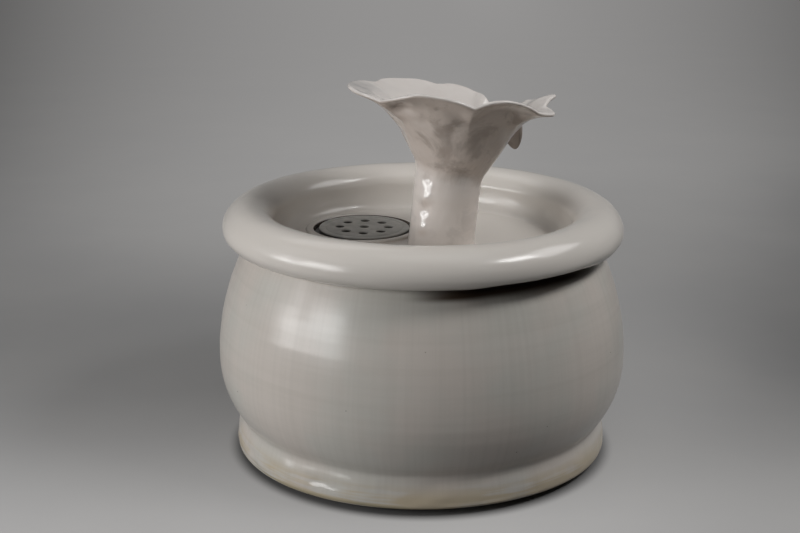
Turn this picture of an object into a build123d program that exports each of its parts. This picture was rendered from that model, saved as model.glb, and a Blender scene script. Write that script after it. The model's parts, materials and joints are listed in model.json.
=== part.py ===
from build123d import *
import math
import os

# Pet water fountain: a glazed stoneware pot holds the water and a small pump, a bowl closes the
# pot and catches the water again, and a lily on a stem pours it.  Millimetres.  The origin is at
# the centre of the foot, on the surface that the pot stands on.  +Z is up and -Y is the front.

# ---- overall sizes ----
belly_radius = 139.2        # widest part of the pot
lip_z = 146.0               # top of the pot's lip, where the bowl sits
rim_outer_radius = 135.0    # outside of the bowl's rolled rim
flower_height = 100.0       # mean height of the flower's edge above the basin's floor
flower_radius = 66.5        # mean radius of the flower's edge

# ---- rubber bumpers under the foot ----
bumper_count = 4
bumper_radius = 7.0
bumper_height = 2.7
bumper_circle_radius = 113.0

# ---- pot ----
pot_wall = 8.0
pot_floor_thickness = 8.0
foot_recess = 4.3           # hollow under the pot, inside the foot ring
foot_ring_inner_radius = 100.0
foot_radius = 127.8         # bead of the foot
foot_bead_rise = 5.8        # bead's widest point above the foot's underside
waist_radius = 123.2        # crease between foot and belly
waist_z = 24.5
belly_z = 68.5
neck_radius = 118.5
belly_power_low = 2.2       # roundness of the belly below its widest point
belly_power_high = 2.0      # and above it
waist_fillet = 7.0
foot_edge_fillet = 1.5
lip_outer_fillet = 4.5
lip_inner_fillet = 2.0
pot_floor_corner = 10.0
cord_notch_width = 9.0
cord_notch_depth = 9.0

# ---- catch bowl ----
locating_clearance = 1.5    # between the bowl's plug and the pot's mouth
plug_depth = 12.0           # bowl's plug below the pot's lip
basin_drop = 3.0            # basin's floor below the pot's lip
basin_floor_radius = 92.5
rim_half_width = 17.15
rim_half_height = 13.2
plug_edge_fillet = 3.0
cord_groove_depth = 7.0

# ---- drain well with its strainer and filter ----
strainer_radius = 31.5
strainer_gap = 2.3          # loose disc in its well
strainer_thickness = 3.5
strainer_shift = 1.2        # the loose disc lies a little to the right in its well
strainer_edge_fillet = 0.8
strainer_hole_radius = 2.7
strainer_hole_circle = 16.0
strainer_hole_count = 8
drain_gap = 2.8             # between the well's raised ring and the stem
drain_direction = math.radians(147.3)
drain_ring_width = 5.7      # raised ring around the well
drain_ring_height = 3.0
drain_ring_fillet = 1.8
well_ledge_depth = 3.0      # ledge below the basin's floor
well_ledge_width = 4.8
cup_gap = 0.5               # filter cup in the well's hole
cup_flange_gap = 0.6
cup_flange_thickness = 1.5
cup_wall = 1.5
cup_depth = 22.0
cup_drain_hole_radius = 3.0
cup_drain_circle_radius = 15.0
cup_drain_count = 8
foam_gap = 0.4
foam_top_gap = 0.3          # foam under the strainer

# ---- lily spout ----
spout_x = 12.5
spout_y = -4.0
stem_radius = 22.5
stem_lean = 0.0875          # sideways per unit of height
stem_height = 45.0          # stem up to where it opens into the flower
flare_power = 1.27
flower_centre_x = 19.0
flower_wall = 3.6
petal_count = 7
petal_phase = math.radians(250)
petal_reach = 3.0           # petal tips stand this much further out than the mean edge
petal_rise = 2.5            # and this much higher
flower_tilt = 8.5           # the flower's edge dips towards the back right
flower_tilt_angle = math.radians(30)
pour_angle = math.radians(50)
pour_width = math.radians(15)
pour_drop = 33.0            # the pouring petal hangs down this far
pour_reach = 8.0
pour_start = 0.7            # share of the flare where the petal starts to hang
throat_height = 57.0        # floor of the flower's throat above the basin's floor
throat_ledge = 4.5          # flat ring around the bore in the throat
spigot_wall = 4.5
spigot_height = 8.0
spigot_gap = 0.8
spigot_fillet = 1.5
stem_bore_gap = 2.0         # stem's bore around the tube
section_points = 42         # points of each closed section of the flower

# ---- riser tube and its grommet ----
tube_bore_radius = 4.5
tube_wall = 1.5
tube_stand = 4.0            # tube above the throat's floor
tube_pump_gap = 1.0         # tube above the pump's top
grommet_wall = 4.0
grommet_flange_width = 3.5
grommet_flange_thickness = 2.5

# ---- pump ----
pump_width = 44.0
pump_height = 40.0
pump_depth = 36.0
pump_corner = 5.0
pump_shell = 2.0
pump_front_y = spout_y - 7.0
rotor_rise = 23.0           # rotor axis above the pump's underside
nozzle_height = 15.0
nozzle_gap = 0.3            # nozzle in the tube
nozzle_wall = 1.2
chamber_radius = 13.0
chamber_depth = 10.5
partition_thickness = 2.0
magnet_radius = 5.6
magnet_length = 16.0
magnet_gap = 0.7
magnet_end_gap = 1.0
magnet_step = 1.0           # magnet starts this far behind the chamber's back face
rotor_well_wall = 1.5
rotor_well_end = 2.0
bush_radius = 2.6
bush_length = 2.5
shaft_radius = 1.0
running_gap = 0.05
shaft_end_gap = 0.3
impeller_radius = 10.5
impeller_disc_thickness = 1.4
impeller_blade_count = 6
impeller_blade_thickness = 1.2
impeller_blade_height = 6.7
impeller_hub_radius = 3.2
impeller_back_gap = 0.4
seal_inner_radius = 14.0
seal_width = 1.6
seal_thickness = 1.2

# ---- stator and coil ----
core_thickness = 12.0
core_front_gap = 3.5        # core behind the chamber's partition
core_side = 4.4             # core beside the rotor well
core_leg_width = 5.0
core_yoke_height = 5.0
yoke_drop = 15.5            # yoke's middle below the rotor axis
pole_rise = 0.7             # poles above the rotor well's top
pole_gap_half = 3.5
bobbin_wall = 0.9
bobbin_side_reach = 3.0     # flange past the core, front and back
bobbin_flange_reach = 3.0   # flange above and below the yoke
winding_inset = 0.4

# ---- pump front: chamber plate, intake cover and flow knob ----
plate_thickness = 2.5
intake_radius = 7.5
plate_hub_radius = 3.9
plate_spoke_width = 1.6
plate_spoke_count = 3
cover_inset = 2.0           # intake cover inside the plate's outline
cover_depth = 9.0
cover_wall = 1.6
cover_slot_width = 2.0
cover_slot_height = 22.0
cover_slot_pitch = 3.5
cover_slots_each_side = 3
cover_first_slot = 6.6
knob_radius = 5.0
knob_thickness = 2.0
knob_fin_width = 1.6
knob_fin_height = 2.0
knob_stem_radius = 1.5
shutter_radius = 7.6
shutter_thickness = 1.2
shutter_gap = 0.8

# ---- pump back and feet ----
gland_hole_radius = 3.5
gland_x = 12.0
gland_rise = 8.0
gland_flange_radius = 5.0
gland_flange_thickness = 1.5
gland_length = 7.0
gland_tip_radius = 3.2
gland_bore_radius = 2.3
suction_cup_height = 6.0
suction_cup_radius = 7.5
suction_cup_skirt = 1.2
suction_stem_radius = 3.0
suction_stem_height = 2.0
suction_spread_x = 13.5
suction_spread_y = 9.5

# ---- places worked out from the sizes above ----
foot_z = bumper_height
basin_floor_z = lip_z - basin_drop
flower_rim_z = basin_floor_z + flower_height
flare_z = basin_floor_z + stem_height
throat_z = basin_floor_z + throat_height
pot_recess_z = foot_z + foot_recess
pot_floor_z = pot_recess_z + pot_floor_thickness
mouth_radius = neck_radius - pot_wall
plug_radius = mouth_radius - locating_clearance
bowl_under_z = lip_z - plug_depth
rim_centre_radius = rim_outer_radius - rim_half_width
rim_centre_z = lip_z + rim_half_height
tube_outer_radius = tube_bore_radius + tube_wall
grommet_radius = tube_outer_radius + grommet_wall
spigot_radius = grommet_radius + spigot_wall
stem_bore_radius = tube_outer_radius + stem_bore_gap
throat_radius = stem_bore_radius + throat_ledge
well_radius = strainer_radius + strainer_gap
well_hole_radius = well_radius - well_ledge_width
drain_ring_radius = well_radius + drain_ring_width
drain_distance = stem_radius + drain_gap + drain_ring_radius
drain_x = spout_x + drain_distance * math.cos(drain_direction)
drain_y = spout_y + drain_distance * math.sin(drain_direction)
ledge_z = basin_floor_z - well_ledge_depth
flange_top_z = ledge_z + cup_flange_thickness
cup_radius = well_hole_radius - cup_gap
cup_inner_radius = cup_radius - cup_wall
cup_bottom_z = ledge_z - cup_depth
foam_bottom_z = cup_bottom_z + cup_wall + foam_gap
foam_top_z = flange_top_z - foam_top_gap
spigot_top_z = basin_floor_z + spigot_height
nozzle_radius = tube_bore_radius - nozzle_gap
nozzle_bore_radius = nozzle_radius - nozzle_wall
pump_z = pot_floor_z + suction_cup_height
pump_top_z = pump_z + pump_height
pump_mid_z = pump_z + pump_height / 2
rotor_z = pump_z + rotor_rise
pump_back_y = pump_front_y + pump_depth
chamber_back_y = pump_front_y + chamber_depth
pocket_front_y = chamber_back_y + partition_thickness
rotor_well_radius = magnet_radius + magnet_gap
rotor_well_outer = rotor_well_radius + rotor_well_wall
core_half_width = rotor_well_outer + core_side
pole_top = rotor_well_outer + pole_rise
pole_bottom = yoke_drop - core_yoke_height / 2 - bobbin_flange_reach
magnet_front_y = chamber_back_y + magnet_step
magnet_back_y = magnet_front_y + magnet_length
bush_front_y = magnet_back_y + magnet_end_gap
bush_back_y = bush_front_y + bush_length
rotor_well_end_y = bush_back_y + rotor_well_end
shaft_back_y = bush_back_y - shaft_end_gap
plate_front_y = pump_front_y - plate_thickness
shaft_front_y = plate_front_y + shaft_end_gap
cover_front_y = plate_front_y - cover_depth
core_front_y = pocket_front_y + core_front_gap
core_mid_y = core_front_y + core_thickness / 2

os.makedirs("parts", exist_ok=True)


def save(piece, label):
    """Label a finished piece and write it under the same name."""
    piece.part.label = label
    export_step(piece.part, f"parts/{label}.step")


def ring_edges(piece, radius, height):
    """Circular edges of a piece about Z at one radius and height."""
    return piece.edges().filter_by(
        lambda edge: edge.geom_type == GeomType.CIRCLE
        and abs(edge.radius - radius) < 0.01
        and abs(edge.arc_center.Z - height) < 0.01
    )


def pump_plane(y):
    """Plane across the rotor axis at depth y.  Local y is up, and extrusion runs to the front."""
    return Plane((spout_x, y, rotor_z), x_dir=(1, 0, 0), z_dir=(0, -1, 0))


# ================= pot =================

def belly_at(z):
    """Outer radius of the pot between its waist and its lip."""
    if z < belly_z:
        share = ((belly_z - z) / (belly_z - waist_z)) ** belly_power_low
        return belly_radius - (belly_radius - waist_radius) * share
    share = ((z - belly_z) / (lip_z - belly_z)) ** belly_power_high
    return belly_radius - (belly_radius - neck_radius) * share


def belly_points(z_low, z_high, steps, inset=0.0):
    heights = [z_low + (z_high - z_low) * i / steps for i in range(steps + 1)]
    return [(belly_at(z) - inset, z) for z in heights]


# the foot's bead is one arc from the underside, past its widest point, up to the waist
bead_rise = waist_z - foot_z - foot_bead_rise
bead_arc_radius = ((foot_radius - waist_radius) ** 2 + bead_rise ** 2) / (2 * (foot_radius - waist_radius))
foot_edge_radius = foot_radius - bead_arc_radius + math.sqrt(bead_arc_radius ** 2 - foot_bead_rise ** 2)

inner_start_z = pot_floor_z + pot_floor_corner
inner_wall = belly_points(max(inner_start_z, waist_z), lip_z, 8, inset=pot_wall)
floor_corner_start = (inner_wall[0][0] - pot_floor_corner, pot_floor_z)

with BuildPart() as reservoir_pot:
    with BuildSketch(Plane.XZ):
        with BuildLine():
            foot_bead = ThreePointArc(
                (foot_edge_radius, foot_z), (foot_radius, foot_z + foot_bead_rise), (waist_radius, waist_z)
            )
            outside = Spline(*belly_points(waist_z, lip_z, 9))
            Line(outside @ 1, (mouth_radius, lip_z))
            inside = Spline(*reversed(inner_wall))
            corner = Spline(inside @ 1, floor_corner_start, tangents=[inside % 1, (-1, 0)])
            Polyline(
                corner @ 1,
                (0, pot_floor_z),
                (0, pot_recess_z),
                (foot_ring_inner_radius, pot_recess_z),
                (foot_ring_inner_radius, foot_z),
                foot_bead @ 0,
            )
        make_face()
    revolve(axis=Axis.Z)
    fillet(ring_edges(reservoir_pot, waist_radius, waist_z), waist_fillet)
    fillet(ring_edges(reservoir_pot, foot_edge_radius, foot_z), foot_edge_fillet)
    fillet(ring_edges(reservoir_pot, neck_radius, lip_z), lip_outer_fillet)
    fillet(ring_edges(reservoir_pot, mouth_radius, lip_z), lip_inner_fillet)
    # round-bottomed notch in the back of the lip, where the pump's lead leaves
    with BuildSketch(Plane.XZ.offset(-(mouth_radius - lip_inner_fillet))):
        with Locations((0, lip_z)):
            SlotOverall(2 * cord_notch_depth, cord_notch_width, rotation=90)
    extrude(amount=-2 * pot_wall, mode=Mode.SUBTRACT)
save(reservoir_pot, "reservoir_pot")

for index in range(bumper_count):
    turn = math.radians(45 + 360 * index / bumper_count)
    bumper_place = (bumper_circle_radius * math.cos(turn), bumper_circle_radius * math.sin(turn))
    with BuildPart() as foot_bumper:
        with BuildSketch(Plane.XY):
            with Locations(bumper_place):
                Circle(bumper_radius)
        extrude(amount=bumper_height)
        chamfer(foot_bumper.faces().sort_by(Axis.Z)[0].edges(), 0.6)
    save(foot_bumper, f"foot_bumper_{index + 1}")

# ================= catch bowl =================

rim_bottom = (rim_centre_radius, lip_z)
rim_inside = (rim_centre_radius - rim_half_width, rim_centre_z)

with BuildPart() as catch_bowl:
    with BuildSketch(Plane.XZ):
        with BuildLine():
            EllipticalCenterArc(
                (rim_centre_radius, rim_centre_z), rim_half_width, rim_half_height,
                start_angle=-90, arc_size=270,
            )
            wall_in = Spline(rim_inside, (basin_floor_radius, basin_floor_z), tangents=[(0, -1), (-1, 0)])
            Polyline(
                wall_in @ 1,
                (0, basin_floor_z),
                (0, bowl_under_z),
                (plug_radius, bowl_under_z),
                (plug_radius, lip_z),
                rim_bottom,
            )
        make_face()
    revolve(axis=Axis.Z)
    fillet(ring_edges(catch_bowl, plug_radius, bowl_under_z), plug_edge_fillet)
    # raised ring around the drain well
    with BuildSketch(Plane.XY.offset(ledge_z)):
        with Locations((drain_x, drain_y)):
            Circle(drain_ring_radius)
    extrude(amount=well_ledge_depth + drain_ring_height)
    with BuildSketch(Plane.XY.offset(ledge_z)):
        with Locations((drain_x, drain_y)):
            Circle(well_radius)
    extrude(amount=2 * (well_ledge_depth + drain_ring_height), mode=Mode.SUBTRACT)
    ring_top_z = basin_floor_z + drain_ring_height
    fillet(ring_edges(catch_bowl, well_radius, ring_top_z), drain_ring_fillet)
    fillet(ring_edges(catch_bowl, drain_ring_radius, ring_top_z), drain_ring_fillet)
    with BuildSketch(Plane.XY.offset(bowl_under_z)):
        with Locations((drain_x, drain_y)):
            Circle(well_hole_radius)
    extrude(amount=plug_depth, mode=Mode.SUBTRACT)
    # spigot that carries the lily's stem
    with BuildSketch(Plane.XY.offset(basin_floor_z)):
        with Locations((spout_x, spout_y)):
            Circle(spigot_radius)
    extrude(amount=spigot_height)
    fillet(ring_edges(catch_bowl, spigot_radius, spigot_top_z), spigot_fillet)
    with BuildSketch(Plane.XY.offset(bowl_under_z)):
        with Locations((spout_x, spout_y)):
            Circle(grommet_radius)
    extrude(amount=spigot_top_z - bowl_under_z, mode=Mode.SUBTRACT)
    # groove up the back of the plug, in line with the notch in the pot's lip
    with BuildSketch(Plane.XY.offset(bowl_under_z)):
        with Locations((0, plug_radius)):
            Rectangle(cord_notch_width, 2 * cord_groove_depth)
    extrude(amount=plug_depth, mode=Mode.SUBTRACT)
save(catch_bowl, "catch_bowl")

# ================= strainer, filter cup and foam =================

with BuildPart() as filter_cup:
    with BuildSketch(Plane.XY.offset(ledge_z)):
        with Locations((drain_x, drain_y)):
            Circle(well_radius - cup_flange_gap)
    extrude(amount=cup_flange_thickness)
    with BuildSketch(Plane.XY.offset(cup_bottom_z)):
        with Locations((drain_x, drain_y)):
            Circle(cup_radius)
    extrude(amount=cup_depth)
    with BuildSketch(Plane.XY.offset(cup_bottom_z + cup_wall)):
        with Locations((drain_x, drain_y)):
            Circle(cup_inner_radius)
    extrude(amount=cup_depth + cup_flange_thickness, mode=Mode.SUBTRACT)
    with BuildSketch(Plane.XY.offset(cup_bottom_z)):
        with Locations((drain_x, drain_y)):
            Circle(cup_drain_hole_radius)
            with PolarLocations(cup_drain_circle_radius, cup_drain_count):
                Circle(cup_drain_hole_radius)
    extrude(amount=cup_wall, mode=Mode.SUBTRACT)
save(filter_cup, "filter_cup")

with BuildPart() as filter_foam:
    with BuildSketch(Plane.XY.offset(foam_bottom_z)):
        with Locations((drain_x, drain_y)):
            Circle(cup_inner_radius - foam_gap)
    extrude(amount=foam_top_z - foam_bottom_z)
save(filter_foam, "filter_foam")

with BuildPart() as strainer_disc:
    with BuildSketch(Plane.XY.offset(flange_top_z)):
        with Locations((drain_x + strainer_shift, drain_y)):
            Circle(strainer_radius)
    extrude(amount=strainer_thickness)
    fillet(strainer_disc.faces().sort_by(Axis.Z)[-1].edges(), strainer_edge_fillet)
    with BuildSketch(Plane.XY.offset(flange_top_z)):
        with Locations((drain_x + strainer_shift, drain_y)):
            Circle(strainer_hole_radius)
            with PolarLocations(strainer_hole_circle, strainer_hole_count):
                Circle(strainer_hole_radius)
    extrude(amount=strainer_thickness, mode=Mode.SUBTRACT)
save(strainer_disc, "strainer_disc")

# ================= lily spout =================

def edge_wave(angle):
    """1 at a petal's tip, -1 between two petals."""
    return math.cos(petal_count * (angle - petal_phase))


def pour_share(angle):
    """1 in the middle of the pouring petal, and near 0 away from it."""
    away = (angle - pour_angle + math.pi) % (2 * math.pi) - math.pi
    return math.exp(-((away / pour_width) ** 2))


def flare_point(share, angle):
    """Radius and height on the flower's outside, from the stem (share 0) to its edge (share 1)."""
    ripple = share ** 3 * edge_wave(angle)
    hang = max(0.0, (share - pour_start) / (1 - pour_start)) ** 1.5 * pour_share(angle)
    edge_z = flower_rim_z - flower_tilt * math.cos(angle - flower_tilt_angle)
    radius = stem_radius + (flower_radius - stem_radius) * share ** flare_power
    height = flare_z + (edge_z - flare_z) * share
    return (
        radius + petal_reach * ripple + pour_reach * hang,
        height + petal_rise * ripple - pour_drop * hang,
    )


def lily_point(share, angle, inward=0.0, outward=0.0):
    """Point of the flower, moved off its outside by inward and past its edge by outward."""
    step = 0.01
    low = flare_point(share - step, angle)
    radius, height = flare_point(share, angle)
    along = Vector(radius - low[0], height - low[1]).normalized()
    radius += -along.Y * inward + along.X * outward
    height += along.X * inward + along.Y * outward
    stem_x = spout_x + stem_lean * (flare_z - basin_floor_z)
    centre_x = stem_x + (flower_centre_x - stem_x) * share
    return Vector(centre_x + radius * math.cos(angle), spout_y + radius * math.sin(angle), height)


def closed_section(points):
    return Wire([Edge.make_spline(points, periodic=True)])


def stem_section(z, radius):
    centre_x = spout_x + stem_lean * (z - basin_floor_z)
    turns = [2 * math.pi * i / section_points for i in range(section_points)]
    return closed_section(
        [Vector(centre_x + radius * math.cos(a), spout_y + radius * math.sin(a), z) for a in turns]
    )


def flower_section(share, inward=0.0, outward=0.0):
    turns = [2 * math.pi * i / section_points for i in range(section_points)]
    return closed_section([lily_point(share, a, inward, outward) for a in turns])


flare_shares = (0.15, 0.3, 0.45, 0.6, 0.72, 0.82, 0.9, 0.96, 1.0)
throat_share = 0.36         # the flower's inside runs down to here, and then in to its throat

outside_sections = [stem_section(basin_floor_z, stem_radius), flower_section(0.02)]
outside_sections += [flower_section(share) for share in flare_shares]
edge_sections = [flower_section(1.0, flower_wall * depth, flower_wall * 0.4) for depth in (0.25, 0.75)]
inside_sections = [
    flower_section(share, inward=flower_wall) for share in reversed(flare_shares) if share > throat_share
]
throat_sections = [flower_section(throat_share, inward=flower_wall), stem_section(throat_z, throat_radius)]

with BuildPart() as lily_spout:
    add(Solid.make_loft(outside_sections + edge_sections + inside_sections + throat_sections, ruled=True))
    with BuildSketch(Plane.XY.offset(basin_floor_z)):
        with Locations((spout_x, spout_y)):
            Circle(spigot_radius + spigot_gap)
    extrude(amount=spigot_height + spigot_gap, mode=Mode.SUBTRACT)
    with BuildSketch(Plane.XY.offset(basin_floor_z)):
        with Locations((spout_x, spout_y)):
            Circle(stem_bore_radius)
    extrude(amount=throat_z - basin_floor_z + 1, mode=Mode.SUBTRACT)
save(lily_spout, "lily_spout")

# ================= riser tube and grommet =================

with BuildPart() as riser_tube:
    with BuildSketch(Plane.XY.offset(pump_top_z + tube_pump_gap)):
        with Locations((spout_x, spout_y)):
            Circle(tube_outer_radius)
            Circle(tube_bore_radius, mode=Mode.SUBTRACT)
    extrude(amount=throat_z + tube_stand - pump_top_z - tube_pump_gap)
save(riser_tube, "riser_tube")

with BuildPart() as spout_grommet:
    with BuildSketch(Plane.XY.offset(bowl_under_z - grommet_flange_thickness)):
        with Locations((spout_x, spout_y)):
            Circle(grommet_radius + grommet_flange_width)
    extrude(amount=grommet_flange_thickness)
    with BuildSketch(Plane.XY.offset(bowl_under_z)):
        with Locations((spout_x, spout_y)):
            Circle(grommet_radius)
    extrude(amount=spigot_top_z - bowl_under_z)
    with BuildSketch(Plane.XY.offset(bowl_under_z - grommet_flange_thickness)):
        with Locations((spout_x, spout_y)):
            Circle(tube_outer_radius)
    extrude(amount=spigot_top_z - bowl_under_z + grommet_flange_thickness, mode=Mode.SUBTRACT)
save(spout_grommet, "spout_grommet")

# ================= pump housing =================

outline_centre = (0, pump_mid_z - rotor_z)
pocket_width = pump_width - 2 * pump_shell
pocket_height = pump_height - 2 * pump_shell
pocket_corner = pump_corner - pump_shell

with BuildPart() as pump_housing:
    with BuildSketch(pump_plane(pump_back_y)):
        with Locations(outline_centre):
            RectangleRounded(pump_width, pump_height, pump_corner)
    extrude(amount=pump_depth)
    with BuildSketch(pump_plane(pump_back_y)):
        with Locations(outline_centre):
            RectangleRounded(pocket_width, pocket_height, pocket_corner)
    extrude(amount=pump_back_y - pocket_front_y, mode=Mode.SUBTRACT)
    with BuildSketch(pump_plane(pocket_front_y)):
        Circle(rotor_well_outer)
    extrude(amount=-(rotor_well_end_y - pocket_front_y))
    with BuildSketch(pump_plane(pump_front_y)):
        Circle(chamber_radius)
    extrude(amount=-chamber_depth, mode=Mode.SUBTRACT)
    with BuildSketch(pump_plane(pump_front_y)):
        Circle(rotor_well_radius)
    extrude(amount=-(bush_front_y - pump_front_y), mode=Mode.SUBTRACT)
    with BuildSketch(pump_plane(bush_front_y)):
        Circle(bush_radius)
    extrude(amount=-bush_length, mode=Mode.SUBTRACT)
    with BuildSketch(pump_plane(pump_front_y)):
        Circle(seal_inner_radius + seal_width)
        Circle(seal_inner_radius, mode=Mode.SUBTRACT)
    extrude(amount=-seal_thickness, mode=Mode.SUBTRACT)
    with BuildSketch(Plane.XY.offset(pump_top_z)):
        with Locations((spout_x, spout_y)):
            Circle(nozzle_radius)
    extrude(amount=nozzle_height)
    chamfer(ring_edges(pump_housing, nozzle_radius, pump_top_z + nozzle_height), 0.6)
    with BuildSketch(Plane.XY.offset(rotor_z)):
        with Locations((spout_x, spout_y)):
            Circle(nozzle_bore_radius)
    extrude(amount=pump_top_z + nozzle_height - rotor_z, mode=Mode.SUBTRACT)
save(pump_housing, "pump_housing")

with BuildPart() as pump_back_cover:
    with BuildSketch(pump_plane(pump_back_y)):
        with Locations(outline_centre):
            RectangleRounded(pocket_width, pocket_height, pocket_corner)
        with Locations((gland_x, gland_rise)):
            Circle(gland_hole_radius, mode=Mode.SUBTRACT)
    extrude(amount=pump_back_y - rotor_well_end_y)
save(pump_back_cover, "pump_back_cover")

with BuildPart() as cord_gland:
    with BuildSketch(pump_plane(rotor_well_end_y)):
        with Locations((gland_x, gland_rise)):
            Circle(gland_hole_radius)
    extrude(amount=-(pump_back_y - rotor_well_end_y))
    with BuildSketch(pump_plane(pump_back_y)):
        with Locations((gland_x, gland_rise)):
            Circle(gland_flange_radius)
    extrude(amount=-gland_flange_thickness)
    with BuildSketch(pump_plane(pump_back_y + gland_flange_thickness)):
        with Locations((gland_x, gland_rise)):
            Circle(gland_hole_radius)
    with BuildSketch(pump_plane(pump_back_y + gland_length)):
        with Locations((gland_x, gland_rise)):
            Circle(gland_tip_radius)
    loft()
    with BuildSketch(pump_plane(rotor_well_end_y)):
        with Locations((gland_x, gland_rise)):
            Circle(gland_bore_radius)
    extrude(amount=-(pump_back_y + gland_length - rotor_well_end_y), mode=Mode.SUBTRACT)
save(cord_gland, "cord_gland")

# ================= stator =================

with BuildPart() as stator_core:
    with BuildSketch(pump_plane(core_front_y)):
        with Locations((0, (pole_top - pole_bottom) / 2)):
            Rectangle(2 * core_half_width, pole_top + pole_bottom)
        for side in (-1, 1):
            with Locations((side * (core_half_width - core_leg_width / 2), -(pole_bottom + yoke_drop) / 2)):
                Rectangle(core_leg_width, yoke_drop - pole_bottom)
        with Locations((0, -yoke_drop)):
            Rectangle(2 * core_half_width, core_yoke_height)
        Circle(rotor_well_outer, mode=Mode.SUBTRACT)
        Rectangle(2 * pole_gap_half, 2 * (pole_top + pole_bottom), mode=Mode.SUBTRACT)
        with Locations((0, -yoke_drop)):
            Rectangle(2 * core_half_width, core_yoke_height)
    extrude(amount=-core_thickness)
save(stator_core, "stator_core")

coil_half_length = core_half_width - core_leg_width
tube_y = core_thickness + 2 * bobbin_wall
tube_z = core_yoke_height + 2 * bobbin_wall
flange_y = core_thickness + 2 * bobbin_side_reach
flange_z = core_yoke_height + 2 * bobbin_flange_reach


def coil_plane(x):
    """Plane across the coil's axis at a distance x from its middle.  Extrusion runs to +X."""
    return Plane((spout_x + x, core_mid_y, rotor_z - yoke_drop), x_dir=(0, 1, 0), z_dir=(1, 0, 0))


with BuildPart() as coil_bobbin:
    with BuildSketch(coil_plane(-coil_half_length)):
        Rectangle(tube_y, tube_z)
    extrude(amount=2 * coil_half_length)
    for flange_x in (-coil_half_length, coil_half_length - bobbin_wall):
        with BuildSketch(coil_plane(flange_x)):
            Rectangle(flange_y, flange_z)
        extrude(amount=bobbin_wall)
    with BuildSketch(coil_plane(-coil_half_length)):
        Rectangle(core_thickness, core_yoke_height)
    extrude(amount=2 * coil_half_length, mode=Mode.SUBTRACT)
save(coil_bobbin, "coil_bobbin")

with BuildPart() as coil_winding:
    with BuildSketch(coil_plane(bobbin_wall - coil_half_length)):
        RectangleRounded(flange_y - 2 * winding_inset, flange_z - 2 * winding_inset, 1.5)
        Rectangle(tube_y, tube_z, mode=Mode.SUBTRACT)
    extrude(amount=2 * (coil_half_length - bobbin_wall))
save(coil_winding, "coil_winding")

# ================= rotor =================

with BuildPart() as rotor_magnet:
    with BuildSketch(pump_plane(magnet_back_y)):
        Circle(magnet_radius)
        Circle(shaft_radius, mode=Mode.SUBTRACT)
    extrude(amount=magnet_length)
save(rotor_magnet, "rotor_magnet")

disc_back_y = chamber_back_y - impeller_back_gap
disc_front_y = disc_back_y - impeller_disc_thickness

with BuildPart() as impeller:
    with BuildSketch(pump_plane(disc_back_y)):
        Circle(impeller_radius)
    extrude(amount=impeller_disc_thickness)
    with BuildSketch(pump_plane(magnet_front_y)):
        Circle(impeller_hub_radius)
    extrude(amount=magnet_front_y - disc_front_y + impeller_blade_height)
    with BuildSketch(pump_plane(disc_front_y)):
        with PolarLocations(0, impeller_blade_count):
            with Locations((impeller_radius / 2, 0)):
                Rectangle(impeller_radius, impeller_blade_thickness)
        Circle(impeller_radius, mode=Mode.INTERSECT)
    extrude(amount=impeller_blade_height)
    with BuildSketch(pump_plane(magnet_front_y)):
        Circle(shaft_radius)
    extrude(amount=magnet_front_y - disc_front_y + impeller_blade_height, mode=Mode.SUBTRACT)
save(impeller, "impeller")

with BuildPart() as rotor_shaft:
    with BuildSketch(pump_plane(shaft_back_y)):
        Circle(shaft_radius)
    extrude(amount=shaft_back_y - shaft_front_y)
save(rotor_shaft, "rotor_shaft")

for bush_name, bush_start_y in (("shaft_bush_rear", bush_back_y), ("shaft_bush_front", pump_front_y)):
    with BuildPart() as shaft_bush:
        with BuildSketch(pump_plane(bush_start_y)):
            Circle(bush_radius)
            Circle(shaft_radius + running_gap, mode=Mode.SUBTRACT)
        extrude(amount=bush_length)
    save(shaft_bush, bush_name)

# ================= chamber seal, chamber plate, intake cover and flow knob =================

with BuildPart() as chamber_seal:
    with BuildSketch(pump_plane(pump_front_y + seal_thickness)):
        Circle(seal_inner_radius + seal_width)
        Circle(seal_inner_radius, mode=Mode.SUBTRACT)
    extrude(amount=seal_thickness)
save(chamber_seal, "chamber_seal")

with BuildPart() as chamber_plate:
    with BuildSketch(pump_plane(pump_front_y)):
        with Locations(outline_centre):
            RectangleRounded(pump_width, pump_height, pump_corner)
        Circle(intake_radius, mode=Mode.SUBTRACT)
        Circle(plate_hub_radius)
        with PolarLocations(0, plate_spoke_count):
            with Locations((intake_radius / 2, 0)):
                Rectangle(intake_radius + plate_spoke_width, plate_spoke_width)
        Circle(bush_radius, mode=Mode.SUBTRACT)
    extrude(amount=plate_thickness)
save(chamber_plate, "chamber_plate")

cover_width = pump_width - 2 * cover_inset
cover_height = pump_height - 2 * cover_inset
cover_corner = pump_corner - cover_inset / 2
cover_inner_width = cover_width - 2 * cover_wall
cover_inner_height = cover_height - 2 * cover_wall
slot_places = [
    (side * (cover_first_slot + cover_slot_pitch * row), 0)
    for side in (-1, 1)
    for row in range(cover_slots_each_side)
]

with BuildPart() as intake_cover:
    with BuildSketch(pump_plane(plate_front_y)):
        with Locations(outline_centre):
            RectangleRounded(cover_width, cover_height, cover_corner)
    extrude(amount=cover_depth)
    with BuildSketch(pump_plane(plate_front_y)):
        with Locations(outline_centre):
            RectangleRounded(cover_inner_width, cover_inner_height, cover_corner - cover_wall)
    extrude(amount=cover_depth - cover_wall, mode=Mode.SUBTRACT)
    with BuildSketch(pump_plane(cover_front_y + cover_wall)):
        with Locations(*slot_places):
            SlotOverall(cover_slot_height, cover_slot_width, rotation=90)
        Circle(knob_stem_radius + running_gap)
    extrude(amount=cover_wall, mode=Mode.SUBTRACT)
save(intake_cover, "intake_cover")

shutter_front_y = plate_front_y - shutter_gap - shutter_thickness

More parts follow.
